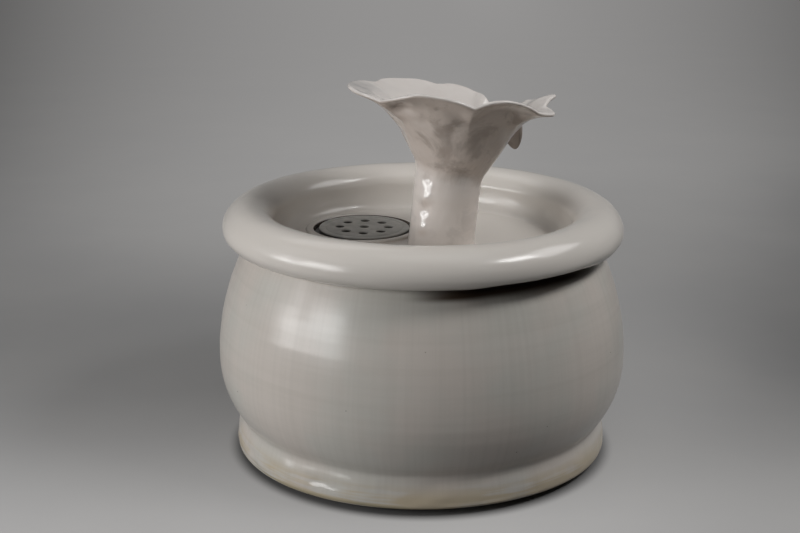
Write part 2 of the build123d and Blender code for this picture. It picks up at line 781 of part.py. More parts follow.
with BuildPart() as flow_knob:
    with BuildSketch(pump_plane(cover_front_y)):
        Circle(knob_radius)
    extrude(amount=knob_thickness)
    with BuildSketch(pump_plane(cover_front_y - knob_thickness)):
        Rectangle(knob_fin_width, 2 * knob_radius - knob_fin_width)
    extrude(amount=knob_fin_height)
    with BuildSketch(pump_plane(shutter_front_y)):
        Circle(knob_stem_radius)
    extrude(amount=shutter_front_y - cover_front_y)
    with BuildSketch(pump_plane(shutter_front_y + shutter_thickness)):
        Circle(shutter_radius)
        with Locations((0, -shutter_radius / 2 - knob_stem_radius / 2)):
            Rectangle(2 * shutter_radius, shutter_radius - knob_stem_radius, mode=Mode.SUBTRACT)
    extrude(amount=shutter_thickness)
save(flow_knob, "flow_knob")

# ================= suction cups =================

cup_places = [(side, row) for row in (-1, 1) for side in (-1, 1)]
pump_mid_y = (pump_front_y + pump_back_y) / 2

for index, (side, row) in enumerate(cup_places):
    cup_x = spout_x + side * suction_spread_x
    cup_y = pump_mid_y + row * suction_spread_y
    stem_low_z = pump_z - suction_stem_height
    with BuildPart() as suction_cup:
        with BuildSketch(Plane((cup_x, cup_y, pot_floor_z), x_dir=(1, 0, 0), z_dir=(0, -1, 0))):
            with BuildLine():
                Polyline(
                    (0, suction_cup_height),
                    (suction_stem_radius, suction_cup_height),
                    (suction_stem_radius, suction_cup_height - suction_stem_height),
                    (suction_cup_radius, suction_cup_skirt / 2),
                    (suction_cup_radius, 0),
                    (suction_cup_radius - suction_cup_skirt, 0),
                    (0, suction_cup_height - suction_stem_height - suction_cup_skirt),
                    close=True,
                )
            make_face()
        revolve(axis=Axis((cup_x, cup_y, 0), (0, 0, 1)))
    save(suction_cup, f"suction_cup_{index + 1}")
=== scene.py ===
import json
import math

import bmesh
import bpy
from mathutils import Matrix, Vector, noise
from mathutils.geometry import delaunay_2d_cdt
from mathutils.kdtree import KDTree


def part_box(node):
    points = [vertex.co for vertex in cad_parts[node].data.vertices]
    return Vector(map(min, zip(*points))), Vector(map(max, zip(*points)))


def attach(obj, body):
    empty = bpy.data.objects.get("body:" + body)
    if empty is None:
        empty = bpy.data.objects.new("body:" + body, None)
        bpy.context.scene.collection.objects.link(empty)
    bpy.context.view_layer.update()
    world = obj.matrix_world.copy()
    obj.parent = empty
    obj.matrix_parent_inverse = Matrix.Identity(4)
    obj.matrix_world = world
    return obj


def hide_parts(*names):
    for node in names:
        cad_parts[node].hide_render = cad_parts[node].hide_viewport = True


# Pet water fountain of hand-thrown, glazed stoneware.  The pot, the catch bowl, the lily and the
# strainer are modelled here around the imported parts, and the pump's parts get their finish.
# Shapes are worked out in millimetres and scaled to metres once, when a mesh is made.

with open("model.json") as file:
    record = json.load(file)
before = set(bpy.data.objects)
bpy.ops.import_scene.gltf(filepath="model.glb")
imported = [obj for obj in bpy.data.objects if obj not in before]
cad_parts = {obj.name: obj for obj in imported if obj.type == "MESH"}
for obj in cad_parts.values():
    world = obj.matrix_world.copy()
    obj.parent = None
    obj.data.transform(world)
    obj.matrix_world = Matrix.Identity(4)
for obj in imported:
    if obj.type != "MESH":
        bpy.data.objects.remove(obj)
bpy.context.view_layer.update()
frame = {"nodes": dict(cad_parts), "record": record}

MM = 0.001
FULL_TURN = 2 * math.pi


def box_mm(node):
    low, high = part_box(node)
    return low / MM, high / MM


def round_mm(node):
    """Centre along X and Y, radius, and lowest and highest Z of a round piece."""
    low, high = box_mm(node)
    return (low.x + high.x) / 2, (low.y + high.y) / 2, (high.x - low.x) / 2, low.z, high.z


# ---- sizes read from the frame ----
pot_low, pot_high = box_mm("reservoir_pot")
bowl_low, bowl_high = box_mm("catch_bowl")
belly_radius = pot_high.x - 0.4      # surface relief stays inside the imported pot
foot_z = pot_low.z
lip_z = pot_high.z
rim_radius = bowl_high.x - 0.2
rim_top_z = bowl_high.z - 0.15
plug_z = bowl_low.z
floor_z = box_mm("lily_spout")[0].z  # the lily stands on the basin's floor
spigot_top_z = box_mm("spout_grommet")[1].z
spout_x, spout_y, tube_radius, *_ = round_mm("riser_tube")
disc_x, disc_y, disc_radius, disc_low_z, disc_high_z = round_mm("strainer_disc")
well_x, well_y, flange_radius, *_ = round_mm("filter_cup")
foam_x, foam_y, foam_radius, foam_low_z, foam_high_z = round_mm("filter_foam")

# ---- sizes of the pot ----
POT_WALL = 8.0
BEAD_RADIUS = 127.6          # foot's bead
BEAD_RISE = 5.8              # bead's widest point above the foot's underside
WAIST_RADIUS = 123.2
WAIST_Z = 24.5
BELLY_Z = 68.5
NECK_RADIUS = 118.5
BELLY_POWER_LOW = 2.2
BELLY_POWER_HIGH = 2.0
FOOT_HOLLOW_RADIUS = 100.0
FOOT_HOLLOW_DEPTH = 4.3
POT_FLOOR_THICKNESS = 8.0
NOTCH_HALF_WIDTH = 4.5
NOTCH_DEPTH = 9.0
NOTCH_ROUND = 2.5
SHOULDER_Z = 118.0           # above it the wall's points follow the lip's height
BOTTOM_ROUND = 1.2
FOOT_ROUND = 3.0
FOOT_EDGE_IN = 3.2           # the foot's round starts this far inside the bead
MOUTH_ROUND = 2.0
INSIDE_CORNER = 10.0         # from wall to floor inside
LIP_ROUND_IN = (2.8, 5.9)    # in general, and at the front right
LIP_ROUND_DOWN = (3.6, 13.0)
LIP_DROP = 4.0
FOOT_LIFT = 1.7
LEDGE_ANGLE, LEDGE_HALF_WIDTH = -118, 8   # a pressed ledge on the foot, in degrees
OUTSIDE_STEPS = 104
INSIDE_STEPS = 26

# ---- sizes of the bowl ----
RIM_HALF_WIDTH = 17.15
RIM_HALF_HEIGHT = 13.2
RIM_SAG = 3.0                # the rim is widest a little below its middle
PLUG_RADIUS = 109.0
BASIN_RADIUS = 92.5
PLUG_ROUND = 3.0
GROOVE_DEPTH = 7.0
WELL_GAP = 0.6               # flange of the cup in its well
WELL_DEPTH = 3.0
WELL_LEDGE = 4.8
RING_WIDTH = 5.7
RING_HEIGHT = 1.8
SPIGOT_WALL = 4.5
GROMMET_WALL = 4.0
RING_ROUND = 1.8
RING_FOOT = 0.7
WELL_SEGMENTS = 160
SPIGOT_SEGMENTS = 72

# ---- sizes of the lily ----
STEM_RADIUS = 22.4
STEM_LEAN = 0.0875
FLOWER_X = 18.5
FLOWER_Y = -2.0
FLARE_Z = 194.0              # stem opens here, sooner on the right than on the left
FLARE_TILT = 6.0
CONE_STEEP = 58.0            # degrees above level
BEND = 4.5                   # half the length of the bend from stem to cone
BEND_SHARE = 0.14
THROAT_Z = floor_z + 57.0
BORE_GAP = 2.0
SOCKET_GAP = 0.8
EDGE_ROUND = 1.4
LILY_WALL = 3.1
EDGE_THINNING = 0.6
SWELL_LENGTH = 21.0          # between the ridges that the potter's fingers left on the stem
SWELL_MIDDLE = 174.5

SEGMENTS = 290               # coarse steps around the pot and the bowl
FINE_STEP = math.radians(0.25)
FINE_HALF = 24               # fine steps on each side of the cord's notch


# ================= small helpers =================

def mix(low, high, share):
    return low + (high - low) * share


def smooth(value, low, high):
    """0 below low, 1 above high, and a soft step between them."""
    share = min(1.0, max(0.0, (value - low) / (high - low)))
    return share * share * (3 - 2 * share)


def turn_between(angle, other):
    """Signed turn from other to angle, from -pi to pi."""
    return (angle - other + math.pi) % FULL_TURN - math.pi


def hump(angle, middle, half_width):
    """1 at the middle angle, falling softly to 0.  Both in degrees."""
    away = math.degrees(turn_between(angle, math.radians(middle))) / half_width
    return math.exp(-away * away)


def ripple(angle, turns, height, seed):
    """Smooth noise around the axis, from about -1 to 1.  More turns give shorter waves."""
    return noise.noise(Vector((turns * math.cos(angle), turns * math.sin(angle), height + seed * 7.3)))


def bezier(start, first, second, end, share):
    rest = 1 - share
    weights = (rest ** 3, 3 * rest ** 2 * share, 3 * rest * share ** 2, share ** 3)
    corners = (start, first, second, end)
    return tuple(sum(w * p[axis] for w, p in zip(weights, corners)) for axis in (0, 1))


def curve(start, first, second, end, steps):
    """The points of a Bezier curve after its start."""
    return [bezier(start, first, second, end, i / steps) for i in range(1, steps + 1)]


def arc(centre_r, centre_z, radius, start, end, steps):
    """Points of a fillet, by angles in degrees from the outward direction."""
    turns = [math.radians(mix(start, end, i / steps)) for i in range(steps + 1)]
    return [(centre_r + radius * math.cos(t), centre_z + radius * math.sin(t)) for t in turns]


class Surface:
    """A mesh made of rings of points, in millimetres."""

    def __init__(self):
        self.mesh = bmesh.new()

    def ring(self, points):
        return [self.mesh.verts.new(Vector(p) * MM) for p in points]

    def bridge(self, first, second):
        for i in range(len(first)):
            j = (i + 1) % len(first)
            self.mesh.faces.new((first[i], first[j], second[j], second[i]))

    def strip(self, rings):
        """Joins each ring of points to the next and returns the first and the last."""
        made = [self.ring(points) for points in rings]
        for first, second in zip(made, made[1:]):
            self.bridge(first, second)
        return made[0], made[-1]

    def pole(self, ring, point):
        tip = self.mesh.verts.new(Vector(point) * MM)
        for i in range(len(ring)):
            self.mesh.faces.new((ring[i], ring[(i + 1) % len(ring)], tip))

    def inset(self, ring, centre, step):
        """A ring in the same plane, moved away from its centre by step."""
        centre = Vector((centre[0], centre[1], 0))
        points = []
        for vertex in ring:
            place = vertex.co / MM
            outward = Vector((place.x - centre.x, place.y - centre.y, 0)).normalized()
            points.append(place + outward * step)
        made = self.ring(points)
        self.bridge(ring, made)
        return made

    def fill(self, outside, holes, spacing, relief=None):
        """Fills a flat face with holes.  Relief gives the height of its inner points."""
        loops = [outside] + holes
        corners = [vertex for loop in loops for vertex in loop]
        points = [Vector((v.co.x, v.co.y)) / MM for v in corners]
        edges = []
        for loop in loops:
            start = len(edges)
            edges += [(start + i, start + (i + 1) % len(loop)) for i in range(len(loop))]
        plane_z = outside[0].co.z / MM
        reach = max(p.length for p in points)
        rows = int(2 * reach / spacing) + 1
        rim = KDTree(len(points))
        for index, point in enumerate(points):
            rim.insert((point.x, point.y, 0), index)
        rim.balance()
        inner = []
        for row in range(rows):
            for column in range(rows):
                shift = spacing / 2 if row % 2 else 0.0
                place = Vector((column * spacing - reach + shift, row * spacing - reach))
                if inside(place, loops) and rim.find((place.x, place.y, 0))[2] > spacing * 0.6:
                    inner.append(place)
        result = delaunay_2d_cdt(points + inner, edges, [], 1, 1e-5)
        flat_points, faces, origins = result[0], result[2], result[3]
        made = []
        for place, origin in zip(flat_points, origins):
            known = [i for i in origin if i < len(corners)]
            if known:
                made.append(corners[known[0]])
                continue
            height = plane_z + (relief(place.x, place.y) if relief else 0.0)
            made.append(self.mesh.verts.new(Vector((place.x, place.y, height)) * MM))
        for face in faces:
            middle = sum((flat_points[i] for i in face), Vector((0, 0))) / len(face)
            if inside(middle, loops):
                self.mesh.faces.new([made[i] for i in face])

    def piece(self, name, sharp_degrees=38):
        """The finished object, smooth but for its sharp edges."""
        bmesh.ops.recalc_face_normals(self.mesh, faces=self.mesh.faces)
        data = bpy.data.meshes.new(name)
        self.mesh.to_mesh(data)
        self.mesh.free()
        data.shade_smooth()
        data.set_sharp_from_angle(angle=math.radians(sharp_degrees))
        made = bpy.data.objects.new(name, data)
        bpy.context.scene.collection.objects.link(made)
        return made


def inside(place, loops):
    """True if a point is inside the first loop and outside the others."""
    def crossings(loop):
        count = 0
        for i, vertex in enumerate(loop):
            low, high = vertex.co / MM, loop[(i + 1) % len(loop)].co / MM
            if (low.y > place.y) != (high.y > place.y):
                cross_x = low.x + (place.y - low.y) * (high.x - low.x) / (high.y - low.y)
                count += place.x < cross_x
        return count % 2 == 1
    return crossings(loops[0]) and not any(crossings(loop) for loop in loops[1:])


def circle(centre_x, centre_y, radius, z, segments):
    turns = [FULL_TURN * i / segments for i in range(segments)]
    return [(centre_x + radius * math.cos(t), centre_y + radius * math.sin(t), z) for t in turns]


def turned(centre_x, centre_y, profile, segments):
    """Rings of a profile of (radius, height) points about a vertical axis."""
    return [circle(centre_x, centre_y, radius, z, segments) for radius, z in profile]


BACK = math.pi / 2
fine_angles = [BACK + FINE_STEP * i for i in range(-FINE_HALF, FINE_HALF + 1)]
coarse_span = FULL_TURN - 2 * FINE_HALF * FINE_STEP
coarse_angles = [fine_angles[-1] + coarse_span * i / SEGMENTS for i in range(1, SEGMENTS)]
around = fine_angles + coarse_angles


def columns_to_rings(column):
    """Rings of points from a function that gives the (radius, height) points at an angle."""
    columns = [[(r * math.cos(a), r * math.sin(a), z) for r, z in column(a)] for a in around]
    return [list(ring) for ring in zip(*columns)]


def notch_share(angle, radius, half_width, edge):
    """1 inside the cord's notch or groove at the back, 0 outside, with a soft edge."""
    across = abs(radius * math.sin(turn_between(angle, BACK)))
    if abs(turn_between(angle, BACK)) > math.pi / 2:
        return 0.0
    return 1 - smooth(across, half_width - edge, half_width + edge)


# ================= pot =================

def belly_at(z):
    if z < BELLY_Z:
        share = ((BELLY_Z - z) / (BELLY_Z - WAIST_Z)) ** BELLY_POWER_LOW
        return belly_radius - (belly_radius - WAIST_RADIUS) * share
    share = ((z - BELLY_Z) / (lip_z - BELLY_Z)) ** BELLY_POWER_HIGH
    return belly_radius - (belly_radius - NECK_RADIUS) * share


bead_z = foot_z + BEAD_RISE
bead_span = WAIST_Z - foot_z - BEAD_RISE
bead_in = BEAD_RADIUS - WAIST_RADIUS
bead_arc_radius = (bead_in ** 2 + bead_span ** 2) / (2 * bead_in)
CREASE_LOW = 20.0
CREASE_HIGH = 27.0


def bead_at(z):
    return BEAD_RADIUS - bead_arc_radius + math.sqrt(bead_arc_radius ** 2 - (z - bead_z) ** 2)


def outside_at(z):
    """Radius of the pot from its foot to its lip, with a soft crease at the waist."""
    if z <= CREASE_LOW:
        return bead_at(z)
    if z >= CREASE_HIGH:
        return belly_at(z)
    start, end = bead_at(CREASE_LOW), belly_at(CREASE_HIGH)
    start_slope = bead_at(CREASE_LOW) - bead_at(CREASE_LOW - 1)
    end_slope = belly_at(CREASE_HIGH + 1) - belly_at(CREASE_HIGH)
    span = CREASE_HIGH - CREASE_LOW
    first = start + start_slope * span / 3
    second = end - end_slope * span / 3
    return bezier((start, 0), (first, 0), (second, 0), (end, 0), (z - CREASE_LOW) / span)[0]


def pot_relief(angle, z):
    """Small unevenness of the thrown wall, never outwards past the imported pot."""
    wide = 0.30 * ripple(angle, 1.1, z * 0.012, 1)
    throwing = 0.07 * ripple(angle, 0.5, z * 0.16, 2) + 0.05 * ripple(angle, 0.8, z * 0.34, 3)
    foot = 1 - smooth(z, 16, 26)
    pressed = 0.45 * ripple(angle, 9, z * 0.10, 4) + 0.20 * ripple(angle, 26, z * 0.22, 5)
    ledge = hump(angle, LEDGE_ANGLE, LEDGE_HALF_WIDTH) * smooth(z, 9.5, 14) * (1 - smooth(z, 14, 23))
    pressed -= ledge * (1.0 + 0.8 * ripple(angle, 24, z * 0.25, 8))
    ends = smooth(z, foot_z + 1, foot_z + 5) * (1 - smooth(z, lip_z - 12, lip_z - 4))
    return ends * (wide + throwing + foot * pressed)


def crease_shift(angle):
    """The crease at the waist wanders up and down a little."""
    return 1.0 * ripple(angle, 2.2, 0.0, 6) + 0.4 * ripple(angle, 7, 0.0, 7)


def lip_round(angle):
    """How far the lip's outer edge is rounded, inwards and downwards: most at the front right."""
    front_right = hump(angle, -55, 27)
    return mix(*LIP_ROUND_IN, front_right), mix(*LIP_ROUND_DOWN, front_right)


def foot_lift(angle):
    """The foot's outer edge stands a little higher at the front right, over a dark gap."""
    return FOOT_LIFT * hump(angle, -62, 52)


def lip_drop(angle):
    """The lip sinks a little at the front right, so the bowl leaves a dark gap there."""
    away = math.degrees(turn_between(angle, -BACK))
    return LIP_DROP * smooth(away, 6, 22) * (1 - smooth(away, 58, 78))


def pot_column(angle):
    """The pot's profile at an angle: out under the foot, up outside, over the lip, down inside."""
    recess_z = foot_z + FOOT_HOLLOW_DEPTH
    floor = recess_z + POT_FLOOR_THICKNESS
    ring = FOOT_HOLLOW_RADIUS
    points = [(25, recess_z), (50, recess_z), (75, recess_z), (ring - 3, recess_z)]
    points += arc(ring - BOTTOM_ROUND, recess_z - BOTTOM_ROUND, BOTTOM_ROUND, 90, 0, 3)
    points += arc(ring + BOTTOM_ROUND, foot_z + BOTTOM_ROUND, BOTTOM_ROUND, 180, 270, 3)
    lift = foot_lift(angle)
    points += [(ring + 6, foot_z), (ring + 12, foot_z + 0.3 * lift), (ring + 18, foot_z + 0.8 * lift)]
    points += arc(outside_at(foot_z + FOOT_ROUND) - FOOT_EDGE_IN, foot_z + FOOT_ROUND + lift, FOOT_ROUND,
                  -90, -10, 6)
    notch = notch_share(angle, NECK_RADIUS, NOTCH_HALF_WIDTH, 0.7)
    lip = lip_z - NOTCH_DEPTH * notch - lip_drop(angle)
    inward, downward = (mix(size, NOTCH_ROUND, notch) for size in lip_round(angle))
    wall_low, wall_high = foot_z + 3.6 + lift, lip - downward
    wall_end = lip_z - 3
    for i in range(OUTSIDE_STEPS + 1):
        z = mix(wall_low, wall_end, i / OUTSIDE_STEPS)
        if z > SHOULDER_Z:
            z = mix(SHOULDER_Z, wall_high, (z - SHOULDER_Z) / (wall_end - SHOULDER_Z))
        shifted = z - crease_shift(angle) * math.exp(-((z - WAIST_Z) / 9.0) ** 2)
        points.append((outside_at(shifted) + pot_relief(angle, z) - 0.25, z))
    seat_radius = NECK_RADIUS - inward
    corner = (NECK_RADIUS + 0.2 * downward, lip - 0.3 * downward)
    points += curve(points[-1], corner, (seat_radius + 0.5 * inward, lip), (seat_radius, lip), 9)
    mouth = NECK_RADIUS - POT_WALL
    points += arc(mouth + MOUTH_ROUND, lip - MOUTH_ROUND, MOUTH_ROUND, 90, 180, 5)
    for i in range(1, INSIDE_STEPS + 1):
        z = mix(lip - 3, floor + 12, i / INSIDE_STEPS)
        points.append((outside_at(max(z, WAIST_Z + 3)) - POT_WALL, z))
    wall_r = points[-1][0]
    corner_r = wall_r - INSIDE_CORNER
    points += curve(points[-1], (wall_r - 2, floor + 3), (corner_r + 3, floor), (corner_r - 4, floor), 8)
    points += [(corner_r * share, floor) for share in (0.85, 0.7, 0.5, 0.3, 0.12)]
    return points


def make_pot():
    surface = Surface()
    first, last = surface.strip(columns_to_rings(pot_column))
    surface.pole(first, (0, 0, foot_z + FOOT_HOLLOW_DEPTH))
    surface.pole(last, (0, 0, foot_z + FOOT_HOLLOW_DEPTH + POT_FLOOR_THICKNESS))
    return surface.piece("stoneware_pot")


# ================= catch bowl =================

RIM_CENTRE_R = rim_radius - RIM_HALF_WIDTH
RIM_CENTRE_Z = rim_top_z - RIM_HALF_HEIGHT
RIM_POWER_LOW = 2.35         # the rim is a little fuller below than an ellipse
RIM_POWER_HIGH = 1.9


def underside_lift(angle):
    """The rim's underside stands away from the pot at the front right and hugs it elsewhere."""
    open_front = smooth(math.degrees(turn_between(angle, -BACK)), 12, 24)
    open_right = 1 - smooth(math.degrees(turn_between(angle, -BACK)), 46, 60)
    lifted = 1.5 * open_front * open_right
    return lifted - 0.9 * hump(angle, -170, 60) - 1.1 * hump(angle, -24, 12) - 0.5 * hump(angle, 90, 60)


def rim_relief(angle, turn):
    """Unevenness of the rolled rim at an angle around it and a turn across it."""
    wide = 0.28 * ripple(angle, 1.7, turn * 0.8, 11)
    fine = 0.16 * ripple(angle, 5.5, turn * 1.6, 12) + 0.05 * ripple(angle, 17, turn * 3.0, 13)
    return wide + fine - 0.3


def bowl_column(angle):
    """The bowl's profile at an angle: up the basin's wall, over the rim and down the plug."""
    points = []
    wall_steps = 16
    wall_top = (RIM_CENTRE_R - RIM_HALF_WIDTH, RIM_CENTRE_Z)
    wall = ((BASIN_RADIUS, floor_z), (BASIN_RADIUS + 6, floor_z), (wall_top[0], RIM_CENTRE_Z - 6), wall_top)
    for i in range(wall_steps):
        share = i / wall_steps
        r, z = bezier(*wall, share)
        uneven = 0.45 * ripple(angle, 3.2, z * 0.05, 14) + 0.15 * ripple(angle, 9, z * 0.1, 15)
        points.append((r + uneven * math.sin(math.pi * share), z))
    rim_steps = 56
    for i in range(rim_steps + 1):
        turn = math.radians(mix(180, -90, i / rim_steps))
        outer = turn < math.pi / 2
        power = RIM_POWER_LOW if turn < 0 else RIM_POWER_HIGH if outer else 2.0
        sag = 0.0 if not outer else -RIM_SAG if turn < 0 else RIM_SAG
        across = math.copysign(abs(math.cos(turn)) ** (2 / power), math.cos(turn))
        upward = math.copysign(abs(math.sin(turn)) ** (2 / power), math.sin(turn))
        relief = rim_relief(angle, turn) * smooth(i, 0, 6) * (1 - smooth(i, rim_steps - 8, rim_steps - 1))
        r = RIM_CENTRE_R + (RIM_HALF_WIDTH + relief) * across
        z = RIM_CENTRE_Z - (RIM_SAG if outer else 0.0) + (RIM_HALF_HEIGHT + sag + relief) * upward
        below = smooth(-math.degrees(turn), 15, 60) * smooth(r, RIM_CENTRE_R + 0.5, RIM_CENTRE_R + 4.5)
        points.append((r, z + underside_lift(angle) * below))
    groove = notch_share(angle, PLUG_RADIUS, NOTCH_HALF_WIDTH, 0.5)
    plug = PLUG_RADIUS - GROOVE_DEPTH * groove
    points += [(mix(points[-1][0], plug, share), lip_z) for share in (0.3, 0.6, 0.92)]
    points += [(plug, lip_z - 0.6), (plug, lip_z - 3.5), (plug, lip_z - 6.5)]
    points += arc(plug - PLUG_ROUND, plug_z + PLUG_ROUND, PLUG_ROUND, 0, -90, 6)
    return points


def basin_relief(x, y):
    """The basin's floor is slightly wavy, as a thrown floor is."""
    return 0.10 * noise.noise(Vector((x * 0.035, y * 0.035, 3.1)))


def make_bowl():
    surface = Surface()
    basin_edge, plug_edge = surface.strip(columns_to_rings(bowl_column))
    well = flange_radius + WELL_GAP
    ring_out = well + RING_WIDTH
    ring_top = floor_z + RING_HEIGHT
    ledge_z = floor_z - WELL_DEPTH
    hole = well - WELL_LEDGE
    ring_profile = [
        *arc(ring_out + RING_FOOT, floor_z + RING_FOOT, RING_FOOT, -90, -180, 4),
        *arc(ring_out - RING_ROUND, ring_top - RING_ROUND, RING_ROUND, 0, 90, 8),
        *arc(well + RING_ROUND, ring_top - RING_ROUND, RING_ROUND, 90, 180, 8),
        (well, ledge_z + 1.6), (well, ledge_z + 0.5),
        *arc(well - 0.4, ledge_z + 0.4, 0.4, 0, -90, 3),
        (well - 2.5, ledge_z),
        *arc(hole + 0.5, ledge_z - 0.5, 0.5, 90, 180, 3),
        (hole, ledge_z - 3), (hole, plug_z + 0.5),
    ]
    well_edge, well_under = surface.strip(turned(well_x, well_y, ring_profile, WELL_SEGMENTS))

    grommet = tube_radius + GROMMET_WALL
    spigot = grommet + SPIGOT_WALL
    spigot_profile = [
        *arc(spigot + 0.6, floor_z + 0.6, 0.6, -90, -180, 3),
        (spigot, floor_z + 3),
        *arc(spigot - 1.5, spigot_top_z - 1.5, 1.5, 0, 90, 5),
        *arc(grommet + 0.3, spigot_top_z - 0.3, 0.3, 90, 180, 2),
        (grommet, spigot_top_z - 6), (grommet, plug_z + 0.5),
    ]
    spigot_edge, spigot_under = surface.strip(turned(spout_x, spout_y, spigot_profile, SPIGOT_SEGMENTS))

    # At the back left the drain ring's foot passes the floor's edge.  The surfaces overlap there, but
    # they are not joined, so the mesh is not closed.
    floor_edge = surface.inset(basin_edge, (0, 0), -0.8)
    well_floor = surface.inset(well_edge, (well_x, well_y), 0.35)
    spigot_floor = surface.inset(spigot_edge, (spout_x, spout_y), 0.8)
    surface.fill(floor_edge, [well_floor, spigot_floor], 5.0, basin_relief)
    well_bottom = surface.ring(circle(well_x, well_y, hole + 0.5, plug_z, WELL_SEGMENTS))
    surface.bridge(well_under, well_bottom)
    spigot_bottom = surface.ring(circle(spout_x, spout_y, grommet + 0.5, plug_z, SPIGOT_SEGMENTS))
    surface.bridge(spigot_under, spigot_bottom)
    surface.fill(plug_edge, [well_bottom, spigot_bottom], 9.0)
    return surface.piece("catch_bowl_glazed")


# ================= lily =================

# The flower's edge, chosen petal by petal: angle from +X, distance from the flower's centre, height,
# and how steeply the petal leaves there (degrees above level).
EDGE = (
    (188, 69.5, 252.3, 16),   # tip of the left petal
    (200, 67.5, 250.8, 20),
    (211, 65.8, 250.2, 28),
    (220, 62.3, 247.8, 44),   # pinch
    (231, 62.9, 250.3, 24),
    (241, 63.6, 253.2, 30),
    (249, 64.2, 255.2, 36),   # crest of the front petal
    (262, 62.8, 253.8, 40),
    (273, 60.8, 250.8, 38),
    (283, 58.0, 246.4, 50),   # pinch
    (292, 61.7, 250.0, 26),
    (299, 63.6, 250.6, 18),
    (311, 64.5, 248.2, 14),
    (320, 64.3, 244.6, 12),
    (330, 65.0, 239.6, 10),
    (341, 69.0, 237.4, 4),    # low lobe at the right
    (348, 66.0, 238.6, 20),
    (354, 61.5, 239.6, 34),   # fold behind it
    (361, 65.0, 242.4, 18),
    (368, 69.8, 244.0, 4),    # curled tip
    (376, 65.8, 241.4, 20),
    (388, 64.5, 237.4, 28),
    (397, 62.8, 233.5, 24),
    (404, 67.5, 206.0, -70),  # pouring petal hangs down
    (410, 69.5, 197.0, -80),
    (416, 65.5, 207.0, -70),
    (422, 57.5, 231.5, 30),
    (434, 61.3, 238.2, 38),
    (448, 62.0, 242.4, 40),
    (460, 57.9, 243.0, 50),   # pinch at the back
    (468, 62.7, 245.3, 38),
    (483, 64.0, 247.4, 38),
    (498, 65.5, 248.6, 36),
    (507, 63.9, 247.8, 40),
    (514, 68.0, 249.4, 28),
    (525, 69.3, 250.8, 22),
)

# Hollows pressed into the flower's outside by fingers: angle, share of the flare, half-width in
# degrees, half-height as a share of the flare, depth.
DENTS = (
    (232, 0.84, 12, 0.10, 2.8),
    (246, 0.66, 9, 0.10, 1.1),
    (258, 0.86, 11, 0.09, 1.1),
    (268, 0.55, 9, 0.10, 1.0),
    (282, 0.74, 13, 0.13, 1.7),
    (300, 0.50, 10, 0.10, 1.1),
    (298, 0.13, 20, 0.08, 2.2),
    (306, 0.88, 14, 0.09, 1.5),
    (328, 0.62, 12, 0.14, 1.1),
    (212, 0.62, 12, 0.12, 1.0),
    (196, 0.40, 14, 0.12, 0.8),
    (236, 0.34, 12, 0.10, 0.8),
    (262, 0.26, 10, 0.08, 0.7),
    (120, 0.60, 18, 0.18, 1.2),
    (160, 0.82, 14, 0.12, 1.2),
    (80, 0.55, 16, 0.18, 1.0),
    (20, 0.60, 14, 0.14, 1.0),
)

PINCHES = (220, 283, 354, 460)   # angles where the edge has a corner
EDGE_SPAN = 360


def edge_slopes(index, value):
    """Slopes of one value of the edge, per degree, before and after a point."""
    count = len(EDGE)
    here = EDGE[index]
    before, after = EDGE[index - 1], EDGE[(index + 1) % count]
    back_step = (here[0] - before[0]) % EDGE_SPAN
    next_step = (after[0] - here[0]) % EDGE_SPAN
    back_slope = (here[value] - before[value]) / back_step
    next_slope = (after[value] - here[value]) / next_step
    if here[0] in PINCHES:
        return back_slope, next_slope
    if back_slope * next_slope <= 0:
        return 0.0, 0.0
    even = (back_slope * next_step + next_slope * back_step) / (back_step + next_step)
    limit = 3 * min(abs(back_slope), abs(next_slope))
    even = math.copysign(min(abs(even), limit), even)
    return even, even


def edge_at(angle):
    """Distance, height and steepness of the flower's edge at an angle."""
    degrees = math.degrees(angle) % EDGE_SPAN
    for index, start in enumerate(EDGE):
        end = EDGE[(index + 1) % len(EDGE)]
        span = (end[0] - start[0]) % EDGE_SPAN
        away = (degrees - start[0]) % EDGE_SPAN
        if away <= span:
            break
    share = away / span
    values = []
    for value in (1, 2, 3):
        leave = edge_slopes(index, value)[1] * span
        arrive = edge_slopes((index + 1) % len(EDGE), value)[0] * span
        low, high = start[value], end[value]
        values.append(
            low * (2 * share ** 3 - 3 * share ** 2 + 1) + leave * (share ** 3 - 2 * share ** 2 + share)
            + high * (3 * share ** 2 - 2 * share ** 3) + arrive * (share ** 3 - share ** 2)
        )
    return values


def stem_centre(z):
    return spout_x + STEM_LEAN * (z - floor_z)


def stem_swell(angle, z):
    """Soft swellings that the potter's fingers left on the stem."""
    ridges = 0.10 + 1.0 * hump(angle, 231, 10)
    phase = FULL_TURN * (z - SWELL_MIDDLE) / SWELL_LENGTH
    waves = ridges * (math.sin(phase) + 0.25 * math.sin(2 * phase))
    waves += 0.3 * ripple(angle, 1.5, z * 0.05, 21)
    fine = 0.12 * ripple(angle, 5, z * 0.12, 22)
    foot = 0.5 * math.exp(-(z - floor_z) / 1.5)
    return (waves + fine) * smooth(z, floor_z + 5, floor_z + 16) + foot


def flare_start(angle):
    return FLARE_Z - FLARE_TILT * math.cos(angle)


def smoothed_edges(edges):
    """The edge without its petals: it shapes the cone below, where the petals fade out."""
    count, reach = len(edges), 32
    level = [(min(r, 66.0), max(z, 230.0), max(steep, 10.0)) for r, z, steep in edges]
    near = range(-reach, reach + 1)
    return [
        [sum(level[(i + k) % count][value] for k in near) / len(near) for value in range(3)]
        for i in range(count)
    ]


